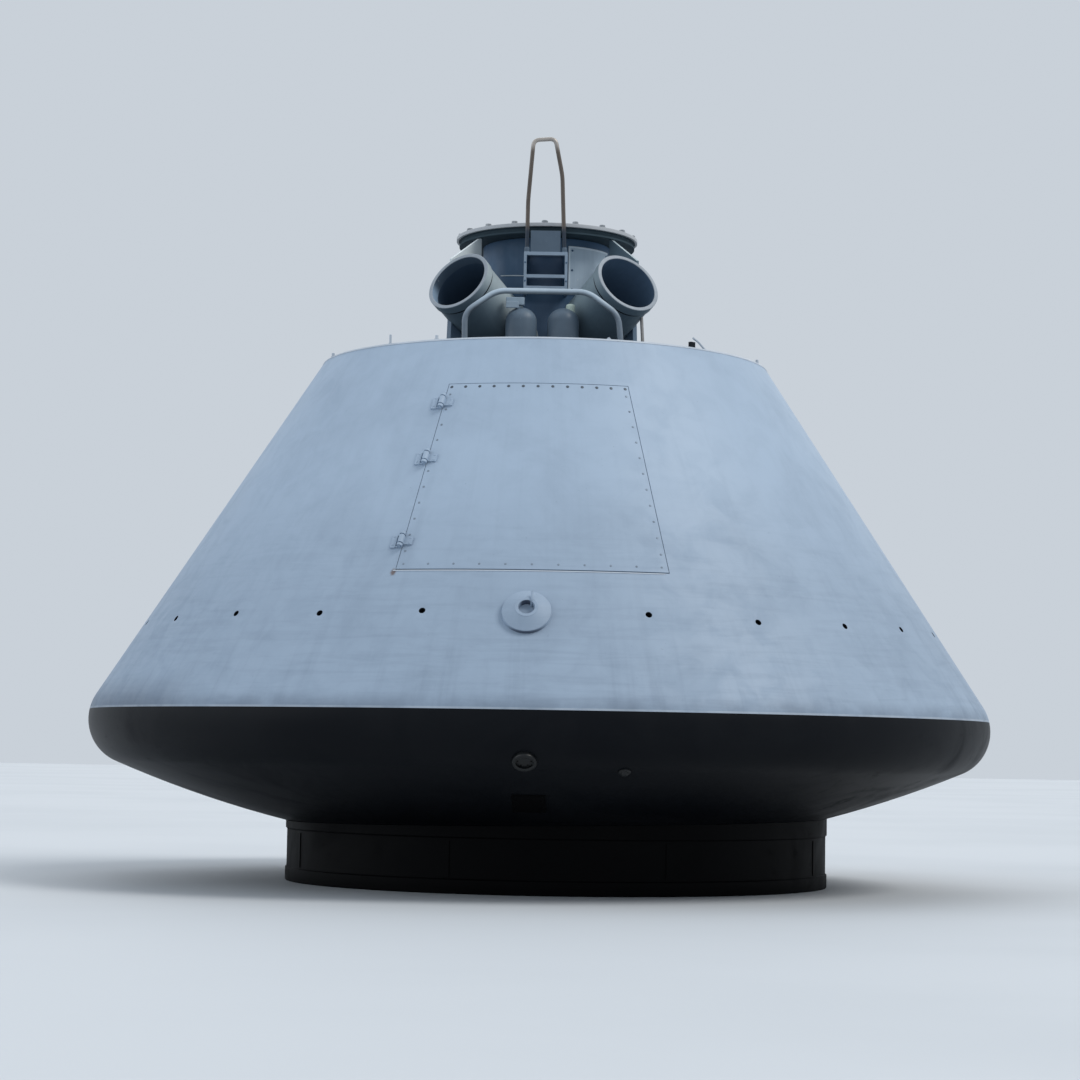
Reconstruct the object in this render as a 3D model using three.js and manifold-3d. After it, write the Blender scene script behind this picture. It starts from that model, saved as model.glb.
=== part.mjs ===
// Conical crew capsule, standing on a low round plinth.
// Millimetres, +Z up. The front, with the crew door, faces -Y, and +X is to the right of it.
// The origin is on the floor, on the capsule's axis.
import * as THREE from 'three';
import { mergeVertices } from 'three/addons/utils/BufferGeometryUtils.js';
import Module from 'manifold-3d';

const wasm = await Module();
wasm.setup();

const degrees = (angle) => angle * Math.PI / 180;

// Driving dimensions
const MAX_RADIUS = 1956;            // at the widest plane
const WIDEST_Z = 680;               // height of the widest plane over the floor
const RIM_ROUND = 196;              // radius of the rounded rim
const SHIELD_SPHERE = 4690;         // radius of the blunt bottom
const CONE_HALF = degrees(32.8);    // half-angle of the cone
const SHIELD_TOP = WIDEST_Z + 41;   // joint between the heat shield and the cone
const CONE_TOP = WIDEST_Z + 1572;
const WALL = 60;                    // skin with its frames, in one thickness
const SEGMENTS = 72;                // facets round every large turned piece
const FACE_GAP = 0.3;               // left between pieces that touch

const PLINTH_RADIUS = 1180;
const PLINTH_SHIFT = 81;            // from the capsule's axis to the drum's, to the right

const DECK_TOP = CONE_TOP - 10;
const DECK_PLATE = 40;
const FLOOR_PLATE = 40;

const TUNNEL_RADIUS = 283;
const TUNNEL_WALL = 33;
const RING_RADIUS = 394;
const RING_TOP = WIDEST_Z + 2146;
const RING_DEPTH = 26;
const COVER_RADIUS = 403;
const COVER_PLATE = 16;

const TUBE_RADIUS = 142;
const TUBE_BORE = 130;
const TUBE_LENGTH = 490;
const TUBE_LIP_RADIUS = 147;
const TUBE_LIP_DEPTH = 40;
const TUBE_TILT = degrees(29.6);    // up from level
const TUBE_MOUTH_RADIUS = 640;      // from the capsule's axis to the middle of the mouth
const TUBE_MOUTH_Z = WIDEST_Z + 1881;
const TUBE_AZIMUTH = { left: -36, right: 33 };

const DOOR_MIDDLE = -1.35;          // azimuth of the door's centre line, degrees
const DOOR_HALF = 18.88;            // degrees either side of its centre line
const DOOR_BOTTOM = WIDEST_Z + 579; // on the outer surface
const DOOR_TOP = WIDEST_Z + 1363;
const DOOR_GAP = 9;                 // all round the door
const FRAME_HALF = 19.33;           // side of the door opening, degrees

const HINGE_LIFT = 15;              // hinge axis over the outer surface
const HINGE_AZIMUTH = DOOR_MIDDLE - (DOOR_HALF + FRAME_HALF) / 2;
const HINGE_HEIGHTS = [WIDEST_Z + 690, WIDEST_Z + 1038, WIDEST_Z + 1280];

// Derived sizes of the body of revolution
const RIM_CENTRE = MAX_RADIUS - RIM_ROUND;
const SPHERE_Z = WIDEST_Z + Math.sqrt((SHIELD_SPHERE - RIM_ROUND) ** 2 - RIM_CENTRE ** 2);
const TANGENT_Z = WIDEST_Z + RIM_ROUND * Math.sin(CONE_HALF);
const TANGENT_RADIUS = RIM_CENTRE + RIM_ROUND * Math.cos(CONE_HALF);
const SPHERE_EDGE_ANGLE = Math.atan2(SPHERE_Z - WIDEST_Z, RIM_CENTRE);

// Finishes
const finish = (color, roughness, metalness) => new THREE.MeshStandardMaterial({ color, roughness, metalness });
const FINISH = {
  cone: () => finish(0x9fb1c6, 0.5, 0.0),
  shield: () => finish(0x16191d, 0.6, 0.0),
  plinth: () => finish(0x08090b, 0.8, 0.0),
  tower: () => finish(0x5b6f86, 0.5, 0.0),
  panel: () => finish(0x93a5b8, 0.5, 0.0),
  canister: () => finish(0x6c7d90, 0.5, 0.0),
  bar: () => finish(0x7d7166, 0.4, 0.5),
  inside: () => finish(0x74808c, 0.7, 0.0),
};

// Solids
function solid(geometry) {
  const bare = geometry.clone();
  bare.deleteAttribute('normal');
  bare.deleteAttribute('uv');
  const merged = mergeVertices(bare, 1e-3);
  const points = merged.attributes.position.array;
  const index = merged.index.array;
  const corners = [];
  for (let i = 0; i < index.length; i += 3) {
    const [a, b, c] = [index[i], index[i + 1], index[i + 2]];
    if (a !== b && b !== c && c !== a) corners.push(a, b, c);
  }
  if (signedVolume(points, corners) < 0) corners.reverse();
  return new wasm.Manifold(new wasm.Mesh({
    numProp: 3,
    vertProperties: new Float32Array(points),
    triVerts: new Uint32Array(corners),
  }));
}

function signedVolume(points, corners) {
  const at = (i) => new THREE.Vector3().fromArray(points, 3 * i);
  let sum = 0;
  for (let i = 0; i < corners.length; i += 3) {
    sum += at(corners[i]).dot(at(corners[i + 1]).cross(at(corners[i + 2])));
  }
  return sum;
}

const join = (first, ...others) => others.reduce((sum, other) => sum.add(other), first);
const cut = (first, ...others) => others.reduce((rest, other) => rest.subtract(other), first);

function turned(profile, segments = SEGMENTS, placed = new THREE.Matrix4()) {
  const points = profile.map(([radius, z]) => new THREE.Vector2(radius, z));
  return solid(new THREE.LatheGeometry(points, segments).rotateX(Math.PI / 2).applyMatrix4(placed));
}

// A ring of rectangular section about the capsule's axis
function ring(inner, outer, low, high) {
  return turned([[inner, low], [outer, low], [outer, high], [inner, high], [inner, low]]);
}

function block([x0, y0, z0], [x1, y1, z1], placed = new THREE.Matrix4()) {
  const geometry = new THREE.BoxGeometry(x1 - x0, y1 - y0, z1 - z0);
  geometry.translate((x0 + x1) / 2, (y0 + y1) / 2, (z0 + z1) / 2);
  return solid(geometry.applyMatrix4(placed));
}

// Everything near the axis below a height
const under = (z) => block([-1000, -1000, 0], [1000, 1000, z]);

// A round bar along local Z from z0 to z1
function rod(radius, z0, z1, segments = 24, placed = new THREE.Matrix4()) {
  const geometry = new THREE.CylinderGeometry(radius, radius, z1 - z0, segments);
  geometry.rotateX(Math.PI / 2).translate(0, 0, (z0 + z1) / 2);
  return solid(geometry.applyMatrix4(placed));
}

// A flat plate whose outline is drawn in local X and Y, standing from z0 to z1
function plate(outline, z0, z1, placed = new THREE.Matrix4()) {
  const shape = new THREE.Shape(outline.map(([x, y]) => new THREE.Vector2(x, y)));
  const geometry = new THREE.ExtrudeGeometry(shape, { depth: z1 - z0, bevelEnabled: false });
  return solid(geometry.translate(0, 0, z0).applyMatrix4(placed));
}

// A bar of round section along a row of points with rounded corners
function bentBar(radius, corners, bend, steps) {
  const points = corners.map((corner) => new THREE.Vector3(...corner));
  const path = new THREE.CurvePath();
  let from = points[0];
  for (let i = 1; i < points.length - 1; i += 1) {
    const before = points[i].clone().add(points[i - 1].clone().sub(points[i]).setLength(bend));
    const after = points[i].clone().add(points[i + 1].clone().sub(points[i]).setLength(bend));
    path.add(new THREE.LineCurve3(from, before));
    path.add(new THREE.QuadraticBezierCurve3(before, points[i], after));
    from = after;
  }
  path.add(new THREE.LineCurve3(from, points.at(-1)));
  const section = new THREE.Shape();
  section.absarc(0, 0, radius, 0, 2 * Math.PI);
  return solid(new THREE.ExtrudeGeometry(section, { steps, extrudePath: path, curveSegments: 6 }));
}

// Wedge between two azimuths, measured from the front towards +X
function wedge(from, to, z0, z1, reach = 3000) {
  const outline = [[0, 0]];
  const parts = Math.max(1, Math.ceil((to - from) / 45));
  for (let i = 0; i <= parts; i += 1) {
    const azimuth = degrees(from + (to - from) * i / parts);
    outline.push([reach * Math.sin(azimuth), -reach * Math.cos(azimuth)]);
  }
  return plate(outline, z0, z1);
}

// Frames of reference
const coneRadius = (z) => TANGENT_RADIUS - (z - TANGENT_Z) * Math.tan(CONE_HALF);
const outward = (azimuth) => new THREE.Vector3(Math.sin(degrees(azimuth)), -Math.cos(degrees(azimuth)), 0);
const rightward = (azimuth) => new THREE.Vector3(Math.cos(degrees(azimuth)), Math.sin(degrees(azimuth)), 0);

function frameAt(x, y, z, place) {
  return new THREE.Matrix4().makeBasis(x, y, z).setPosition(place);
}

// Frame on a surface of revolution: X to the right, Z outward along the normal
function surfaceFrame(azimuth, radius, z, tilt, lift = 0) {
  const normal = outward(azimuth).multiplyScalar(Math.cos(tilt)).setZ(Math.sin(tilt));
  const side = rightward(azimuth);
  const place = outward(azimuth).multiplyScalar(radius).setZ(z).addScaledVector(normal, lift);
  return frameAt(side, normal.clone().cross(side), normal, place);
}

const onCone = (azimuth, z, lift = 0) => surfaceFrame(azimuth, coneRadius(z), z, CONE_HALF, lift);

// Upright radial plane: X outward, Y up, Z to the side
function radialFrame(azimuth) {
  return frameAt(outward(azimuth), new THREE.Vector3(0, 0, 1), rightward(azimuth).negate(), new THREE.Vector3());
}

// Points on the rounded rim, offset inward by depth, from one height to another
function rimArc(depth, fromAngle, toAngle, parts) {
  const radius = RIM_ROUND - depth;
  return Array.from({ length: parts + 1 }, (_, i) => {
    const angle = fromAngle + (toAngle - fromAngle) * i / parts;
    return [RIM_CENTRE + radius * Math.cos(angle), WIDEST_Z + radius * Math.sin(angle)];
  });
}

// Points on the blunt bottom, offset inward by depth, from the axis to the rim
function bottomArc(depth, parts) {
  const radius = SHIELD_SPHERE - depth;
  return Array.from({ length: parts }, (_, i) => {
    const angle = (Math.PI / 2 - SPHERE_EDGE_ANGLE) * i / parts;
    return [radius * Math.sin(angle), SPHERE_Z - radius * Math.cos(angle)];
  });
}

const rimAngle = (z, depth) => Math.asin((z - WIDEST_Z) / (RIM_ROUND - depth));

// Body of revolution
function shieldDish(depth, top, bottomParts = 6, rimParts = 6) {
  const rim = rimArc(depth, -SPHERE_EDGE_ANGLE, rimAngle(top, depth), rimParts);
  return [...bottomArc(depth, bottomParts), ...rim];
}

const shieldHollow = (depth, top) => shieldDish(depth, top, 4, 3);

function coneProfile(depth) {
  const inset = depth / Math.cos(CONE_HALF);
  return [...rimArc(depth, rimAngle(SHIELD_TOP, depth), CONE_HALF, 3), [coneRadius(CONE_TOP) - inset, CONE_TOP]];
}

const coneShell = turned([...coneProfile(0), ...coneProfile(WALL).reverse(), coneProfile(0)[0]]);
const coneClearance = turned([[0, SHIELD_TOP], ...coneProfile(-FACE_GAP), [0, CONE_TOP]]);
const shieldClearance = turned([...shieldDish(-FACE_GAP, SHIELD_TOP), [0, SHIELD_TOP]]);
const insideCone = turned([[0, SHIELD_TOP], ...coneProfile(WALL + FACE_GAP), [0, CONE_TOP]]);
const insideShield = turned([...shieldHollow(WALL + FACE_GAP, SHIELD_TOP), [0, SHIELD_TOP]]);
const tunnelBody = rod(TUNNEL_RADIUS + FACE_GAP, WIDEST_Z, RING_TOP, SEGMENTS);

// A ring of wall between two heights on the cone, its faces square to the surface
function coneBand(bottom, top) {
  const reach = 2 * WALL;
  const across = [Math.cos(CONE_HALF) * reach, Math.sin(CONE_HALF) * reach];
  const [low, high] = [[coneRadius(bottom), bottom], [coneRadius(top), top]];
  const step = ([radius, z], sign) => [radius + sign * across[0], z + sign * across[1]];
  return turned([step(low, -1), step(low, 1), step(high, 1), step(high, -1), step(low, -1)]);
}

const capsule = new THREE.Group();

function piece(name, body, material) {
  const result = body.getMesh();
  const geometry = new THREE.BufferGeometry();
  geometry.setAttribute('position', new THREE.BufferAttribute(result.vertProperties, 3));
  geometry.setIndex(new THREE.BufferAttribute(result.triVerts, 1));
  geometry.computeVertexNormals();
  const mesh = new THREE.Mesh(geometry, material);
  mesh.name = name;
  capsule.add(mesh);
}

// Plinth: a drum with a dished top that follows the shield
function addPlinth() {
  const placed = new THREE.Matrix4().makeTranslation(PLINTH_SHIFT, 0, 0);
  const drum = rod(PLINTH_RADIUS, 0, WIDEST_Z, SEGMENTS, placed);
  piece('plinth_drum', cut(drum, shieldClearance), FINISH.plinth());
}

// Heat shield, and the covers that show on it
function addShield() {
  const top = SHIELD_TOP - FACE_GAP;
  const profile = [...shieldDish(0, top), ...shieldHollow(WALL, top).reverse()];
  piece('shield_dish', turned(profile), FINISH.shield());
  // Columns: name, azimuth, radius, height, tilt of the normal, half-width, half-length or null if round,
  // proud height
  const covers = [
    ['shield_port', -1.6, 1889, WIDEST_Z - 147, -49, 47, null, 14],
    ['shield_fitting', 10, 1835, WIDEST_Z - 181, -66, 24, null, 16],
    ['shield_cover', -1.35, 1500, WIDEST_Z - 308, -71, 64, 100, 7],
  ];
  for (const [name, azimuth, radius, z, tilt, half, length, proud] of covers) {
    const frame = surfaceFrame(azimuth, radius, z, degrees(tilt));
    const body = length === null
      ? rod(half, -40, proud, 24, frame)
      : block([-half, -length, -40], [half, length, proud], frame);
    piece(name, cut(body, shieldClearance), FINISH.shield());
  }
}

// Cone: four side panels, and the fields over and under the door
function addCone() {
  const slit = 0.02;
  const [left, right] = [DOOR_MIDDLE - FRAME_HALF, DOOR_MIDDLE + FRAME_HALF];
  const quarter = (360 - 2 * FRAME_HALF) / 4;
  const sector = (from, to) => coneShell.intersect(wedge(from + slit, to - slit, 0, CONE_TOP + 100));
  ['right_front', 'right_rear', 'left_rear', 'left_front'].forEach((place, i) => {
    piece(`shell_${place}`, sector(right + quarter * i, right + quarter * (i + 1)), FINISH.cone());
  });
  const front = sector(left, right);
  const gap = DOOR_GAP * Math.cos(CONE_HALF);
  piece('shell_under_door', cut(front, coneBand(DOOR_BOTTOM - gap, CONE_TOP + 400)), FINISH.cone());
  piece('shell_over_door', cut(front, coneBand(WIDEST_Z - 400, DOOR_TOP + gap)), FINISH.cone());
}

// Crew door with its hinges on the left edge
function addDoor() {
  const leaf = coneShell.intersect(wedge(DOOR_MIDDLE - DOOR_HALF, DOOR_MIDDLE + DOOR_HALF, 0, CONE_TOP));
  piece('door_panel', leaf.intersect(coneBand(DOOR_BOTTOM, DOOR_TOP)), FINISH.cone());
  HINGE_HEIGHTS.forEach((height, i) => addHinge(i + 1, height));
}

const HINGE = {
  pin: 5,            // radius
  bore: 6.2,         // radius of the hole round the pin
  barrel: 12,        // outer radius of every knuckle
  half: 18,          // half the length of the middle knuckle
  ear: 10,           // length of each outer knuckle
  play: 5,           // along the pin, between knuckles
  strap: 6,          // thickness of the straps
  reach: 44,         // from the pin to the end of a strap
};

function addHinge(number, height) {
  const turn = new THREE.Matrix4().makeRotationX(-Math.PI / 2);
  const frame = onCone(HINGE_AZIMUTH, height, HINGE_LIFT);
  const along = frame.clone().multiply(turn);
  const { pin, bore, barrel, half, ear, play, strap, reach } = HINGE;
  const end = half + play + ear;
  const low = -HINGE_LIFT - 6;
  const top = -HINGE_LIFT + strap;
  const bar = (radius, from, to) => rod(radius, from, to, 16, along);
  const moving = join(
    bar(barrel, -half, half),
    block([2, 1 - half, low], [barrel - 1, half - 1, -1], frame),
    block([barrel - 3, -half, low - 1], [reach, half, top], frame),
  );
  piece(`hinge_leaf_${number}`, cut(moving, bar(bore, -end, end), coneClearance), FINISH.cone());
  const ears = [-end, half + play].map((from) => join(
    bar(barrel, from, from + ear),
    block([1 - barrel, from + 1, low], [-2, from + ear - 1, -1], frame),
    block([-2 * barrel, from + 2, low - 1], [3 - barrel, from + ear - 2, top - 1], frame),
  ));
  const fixed = join(
    bar(pin, -end - 4, end + 4),
    ...ears,
    block([-reach, -end, low - 2], [2 - 2 * barrel, end, top], frame),
  );
  piece(`hinge_base_${number}`, cut(fixed, coneClearance), FINISH.cone());
}

// Bulkheads inside the cone: the cabin floor and the deck that carries the tunnel
function addDecks() {
  const floor = rod(MAX_RADIUS, SHIELD_TOP - FLOOR_PLATE, SHIELD_TOP - FACE_GAP, SEGMENTS);
  piece('cabin_floor', floor.intersect(insideShield), FINISH.inside());
  const deck = ring(TUNNEL_RADIUS - TUNNEL_WALL, MAX_RADIUS, DECK_TOP - DECK_PLATE, DECK_TOP);
  piece('upper_deck', deck.intersect(insideCone), FINISH.cone());
}

const WINDOW = { left: -85, right: 77, low: WIDEST_Z + 1884, high: WIDEST_Z + 2044 };

// Tunnel with its bolted ring and cover
function addTunnel() {
  const bore = TUNNEL_RADIUS - TUNNEL_WALL;
  const ringBottom = RING_TOP - RING_DEPTH;
  const wall = ring(bore, TUNNEL_RADIUS, DECK_TOP + FACE_GAP, ringBottom - FACE_GAP);
  const window = block([WINDOW.left, -500, WINDOW.low], [WINDOW.right, -200, WINDOW.high]);
  piece('tunnel_wall', cut(wall, window), FINISH.tower());
  piece('tunnel_ring', ring(bore, RING_RADIUS, ringBottom, RING_TOP), FINISH.tower());
  const coverBottom = RING_TOP + FACE_GAP;
  const coverTop = RING_TOP + COVER_PLATE;
  piece('tunnel_cover', turned([[0, coverBottom], [COVER_RADIUS, coverBottom], [COVER_RADIUS, coverTop], [0, coverTop]]),
    FINISH.tower());
  const curved = ring(TUNNEL_RADIUS + FACE_GAP + 1, TUNNEL_RADIUS + 9, WIDEST_Z + 1882, WIDEST_Z + 2085);
  const panel = curved.intersect(wedge(19, 66, 0, RING_TOP, 600));
  piece('wall_panel', cut(panel, tubeEnvelope(tubeFrame(TUBE_AZIMUTH.right), FACE_GAP)), FINISH.panel());
}

// The two slanted tubes, and what holds them
function tubeFrame(azimuth) {
  const level = outward(azimuth);
  const axis = level.clone().multiplyScalar(Math.cos(TUBE_TILT)).setZ(Math.sin(TUBE_TILT));
  const across = rightward(azimuth);
  const mouth = level.clone().multiplyScalar(TUBE_MOUTH_RADIUS).setZ(TUBE_MOUTH_Z);
  return frameAt(across, axis.clone().cross(across), axis, mouth);
}

function tubeEnvelope(frame, gap) {
  return join(
    rod(TUBE_RADIUS + gap, -TUBE_LENGTH - 60, 0, 32, frame),
    rod(TUBE_LIP_RADIUS + gap, -TUBE_LIP_DEPTH - gap, 1 + gap, 32, frame),
  );
}

function addTubes() {
  const keepOver = block([-1000, -1000, DECK_TOP + FACE_GAP], [1000, 1000, RING_TOP]);
  const flange = RING_TOP - RING_DEPTH - FACE_GAP;
  const brace = [[352, flange], [365, flange], [560, WIDEST_Z + 1999], [560, WIDEST_Z + 1860], [352, WIDEST_Z + 1790]];
  // Columns: name, side, azimuth of the stand, its reach along the deck
  for (const [name, side, standAzimuth, reach] of [['left', -1, -43, 612], ['right', 1, 43, 568]]) {
    const azimuth = TUBE_AZIMUTH[name];
    const frame = tubeFrame(azimuth);
    const bore = rod(TUBE_BORE, -TUBE_LENGTH - 80, 10, 32, frame);
    piece(`tube_${name}`, cut(tubeEnvelope(frame, 0), bore, tunnelBody).intersect(keepOver), FINISH.tower());
    const room = tubeEnvelope(frame, FACE_GAP);
    // Upright plate parallel to the tube, from under the ring to the outer side of the mouth
    const upright = plate(brace, -103 * side - 6, -103 * side + 6, radialFrame(azimuth));
    piece(`brace_${name}`, cut(upright, room), FINISH.tower());
    const stand = [[300, DECK_TOP + FACE_GAP], [reach, DECK_TOP + FACE_GAP], [reach - 8, WIDEST_Z + 1745],
      [300, WIDEST_Z + 1600]];
    piece(`stand_${name}`, cut(plate(stand, -12, 12, radialFrame(standAzimuth)), room, tunnelBody), FINISH.tower());
  }
  const strut = bentBar(7, [[420, -490, DECK_TOP - 20], [406, -490, WIDEST_Z + 1775]], 0, 2);
  const clear = tubeEnvelope(tubeFrame(TUBE_AZIMUTH.right), FACE_GAP);
  piece('stay_rod', cut(strut, clear).intersect(keepOver), FINISH.tower());
}

// Rear gussets of the deck, the counterparts of the stands under the tubes
function addGussets() {
  const outline = [[250, DECK_TOP + FACE_GAP], [640, DECK_TOP + FACE_GAP], [622, DECK_TOP + 70],
    [320, WIDEST_Z + 1960], [250, WIDEST_Z + 1960]];
  for (const [name, azimuth] of [['left', -137], ['right', 137]]) {
    piece(`gusset_${name}`, cut(plate(outline, -12, 12, radialFrame(azimuth)), tunnelBody), FINISH.tower());
  }
}

// Guard hoop and the two domed canisters behind it
function addFrontBay() {
  const foot = DECK_TOP + FACE_GAP;
  const y = -650;
  const hoop = bentBar(12.5, [
    [-339, y, foot - 20], [-341, y, WIDEST_Z + 1724], [-209, y, WIDEST_Z + 1818],
    [175, y, WIDEST_Z + 1818], [305, y, WIDEST_Z + 1722], [320, y, foot - 20],
  ], 42, 26);
  piece('guard_hoop', cut(hoop, under(foot)), FINISH.panel());
  const [radius, shoulder, dome] = [69, WIDEST_Z + 1712, 60];
  for (const [name, x] of [['left', -105], ['right', 75]]) {
    const profile = [[0, foot], [radius, foot]];
    for (const angle of [0, 18, 36, 54, 72].map(degrees)) {
      profile.push([radius * Math.cos(angle), shoulder + dome * Math.sin(angle)]);
    }
    profile.push([0, shoulder + dome]);
    const placed = new THREE.Matrix4().makeTranslation(x, -500, 0);
    piece(`canister_${name}`, turned(profile, 28, placed), FINISH.canister());
  }
}

// Bracket on the front of the tunnel, and the lifting loop that stands on it
function addLoop() {
  const [left, right, front, back] = [-98, 90, -442, -418];
  const [low, high] = [WIDEST_Z + 1864, WIDEST_Z + 2026];
  const rungs = [low, WIDEST_Z + 1914, high - 14];
  const cheek = (x) => block([x, front, low], [x + 12, -240, high]);
  const bars = rungs.map((z) => block([left, front, z], [right, back, z + 14]));
  const backing = block([-70, front + 8, high - 14], [58, back - 8, RING_TOP - RING_DEPTH]);
  piece('loop_bracket', cut(join(cheek(left), cheek(right - 12), ...bars, backing), tunnelBody), FINISH.panel());
  const y = (front + back) / 2;
  const foot = high + FACE_GAP;
  const loop = bentBar(9, [
    [-86, y, foot - 20], [-84, y, WIDEST_Z + 2250], [-64, y, WIDEST_Z + 2515],
    [30, y, WIDEST_Z + 2522], [62, y, WIDEST_Z + 2360], [76, y, foot - 20],
  ], 26, 30);
  piece('lifting_loop', cut(loop, under(foot)), FINISH.bar());
}

// Round boss on the cone under the door
function addPort() {
  const profile = [[0, -12], [94, -12], [94, 15], [87, 19], [50, 38], [44, 42], [31, 42], [31, 14], [0, 14]];
  const boss = turned(profile, 28, onCone(-1.8, WIDEST_Z + 406));
  piece('round_port', cut(boss, coneClearance), FINISH.cone());
}

addPlinth();
addShield();
addCone();
addDoor();
addDecks();
addTunnel();
addTubes();
addGussets();
addFrontBay();
addLoop();
addPort();

export default capsule;
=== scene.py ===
import math

import bpy
from mathutils import Matrix, Vector


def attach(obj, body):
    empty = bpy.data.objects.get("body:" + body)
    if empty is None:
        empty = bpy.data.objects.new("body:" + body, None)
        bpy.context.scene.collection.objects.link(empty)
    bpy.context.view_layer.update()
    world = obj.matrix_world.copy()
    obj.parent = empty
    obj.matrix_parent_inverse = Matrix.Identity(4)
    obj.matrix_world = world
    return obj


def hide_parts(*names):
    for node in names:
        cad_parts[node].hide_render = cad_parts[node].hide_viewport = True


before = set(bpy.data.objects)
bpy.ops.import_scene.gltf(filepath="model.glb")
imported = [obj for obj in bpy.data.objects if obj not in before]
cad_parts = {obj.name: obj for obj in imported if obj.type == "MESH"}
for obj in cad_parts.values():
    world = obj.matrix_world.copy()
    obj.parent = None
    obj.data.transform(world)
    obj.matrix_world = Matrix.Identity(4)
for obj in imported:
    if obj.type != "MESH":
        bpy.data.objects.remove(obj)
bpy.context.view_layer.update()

# Driving dimensions, in metres and degrees, as in the part's source
WIDE = 0.68
MAX_RADIUS = 1.956
RIM_ROUND = 0.196
SHIELD_SPHERE = 4.69
CONE_HALF = math.radians(32.8)
SHIELD_TOP = WIDE + 0.041
CONE_TOP = WIDE + 1.572
WALL = 0.06
PLINTH_RADIUS = 1.18
PLINTH_SHIFT = 0.081
DECK_TOP = CONE_TOP - 0.01
DECK_PLATE = 0.04
TUNNEL_RADIUS = 0.283
TUNNEL_BORE = 0.25
RING_RADIUS = 0.394
RING_TOP = WIDE + 2.146
RING_DEPTH = 0.026
COVER_RADIUS = 0.403
COVER_TOP = RING_TOP + 0.016
TUBE_RADIUS = 0.142
TUBE_BORE = 0.13
TUBE_LIP = 0.147
TUBE_COLLAR = 0.04
TUBE_TILT = math.radians(29.6)
TUBE_MOUTH_RADIUS = 0.64
TUBE_MOUTH_Z = WIDE + 1.881
TUBE_AZIMUTH = {"left": -36.0, "right": 33.0}
DOOR_MIDDLE = -1.35
DOOR_HALF = 18.88
DOOR_BOTTOM = WIDE + 0.579
DOOR_TOP = WIDE + 1.363
DOOR_GAP = 0.009
FRAME_HALF = 19.33
HINGE_AZIMUTH = DOOR_MIDDLE - (DOOR_HALF + FRAME_HALF) / 2
HINGE_HEIGHTS = [WIDE + 0.69, WIDE + 1.038, WIDE + 1.28]

RIM_CENTRE = MAX_RADIUS - RIM_ROUND
SPHERE_Z = WIDE + math.sqrt((SHIELD_SPHERE - RIM_ROUND) ** 2 - RIM_CENTRE ** 2)
SPHERE_EDGE = math.atan2(SPHERE_Z - WIDE, RIM_CENTRE)
CONE_COS = math.cos(CONE_HALF)
CONE_SIN = math.sin(CONE_HALF)
TANGENT_Z = WIDE + RIM_ROUND * CONE_SIN
TANGENT_RADIUS = RIM_CENTRE + RIM_ROUND * CONE_COS
LEVEL_WALL = WALL / CONE_COS                # the cone wall's thickness, measured level
DOORWAY_LOW = DOOR_BOTTOM - DOOR_GAP * CONE_COS
DOORWAY_HIGH = DOOR_TOP + DOOR_GAP * CONE_COS


# Places: an azimuth is 0 in front and grows to the right
def cone_radius(z):
    return TANGENT_RADIUS - (z - TANGENT_Z) * math.tan(CONE_HALF)


def outward(azimuth):
    angle = math.radians(azimuth)
    return Vector((math.sin(angle), -math.cos(angle), 0))


def spot(azimuth, radius, z):
    return outward(azimuth) * radius + Vector((0, 0, z))


def off_cone(azimuth, z, lift):
    """The point of the cone at a height, lifted off its surface."""
    return spot(azimuth, cone_radius(z) + lift * CONE_COS, z + lift * CONE_SIN)


def circle(radius, count, z=0.0, start=0.0):
    angles = [start + 2 * math.pi * k / count for k in range(count)]
    return [Vector((radius * math.cos(angle), radius * math.sin(angle), z)) for angle in angles]


def basis(x, y, z, place):
    return Matrix.Translation(place) @ Matrix((x, y, z)).transposed().to_4x4()


def surface_frame(azimuth, radius, z, tilt, lift=0.0):
    """X to the right, Y up the surface, Z outward along the normal."""
    normal = outward(azimuth) * math.cos(tilt) + Vector((0, 0, math.sin(tilt)))
    side = outward(azimuth + 90)
    return basis(side, normal.cross(side), normal, spot(azimuth, radius, z) + normal * lift)


def on_cone(azimuth, z, lift=0.0):
    return surface_frame(azimuth, cone_radius(z), z, CONE_HALF, lift)


def upright(azimuth, radius, z):
    return surface_frame(azimuth, radius, z, math.pi / 2)


def spaced(marks, step):
    """The marks, with equal parts no longer than step between them."""
    result = []
    for start, end in zip(marks, marks[1:]):
        parts = max(1, math.ceil((end - start) / step - 1e-6))
        result += [start + (end - start) * i / parts for i in range(parts)]
    return result + [marks[-1]]


# Meshes
def coat(piece, *materials):
    for material in materials:
        piece.data.materials.append(bpy.data.materials[material])


def make(name, points, faces, material, sharp=32):
    mesh = bpy.data.meshes.new(name)
    mesh.from_pydata([tuple(point) for point in points], [], faces)
    mesh.update()
    mesh.polygons.foreach_set("use_smooth", [True] * len(mesh.polygons))
    mesh.set_sharp_from_angle(angle=math.radians(sharp))
    piece = bpy.data.objects.new(name, mesh)
    coat(piece, material)
    bpy.context.collection.objects.link(piece)
    return piece


def bevel(piece, width, angle=35):
    modifier = piece.modifiers.new("edges", "BEVEL")
    modifier.width = width
    modifier.segments = 2
    modifier.limit_method = "ANGLE"
    modifier.angle_limit = math.radians(angle)
    modifier.harden_normals = True


def settle(piece, slot, *nodes, body="capsule"):
    """The piece rides on a body, in place of the nodes named. The slot is not used."""
    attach(piece, body)
    if nodes:
        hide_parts(*nodes)


def finish_node(name, material, width):
    """A solid of the frame that shows as it is, with its material and softer edges."""
    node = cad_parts[name]
    node.data.materials.clear()
    coat(node, material)
    bevel(node, width)


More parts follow.
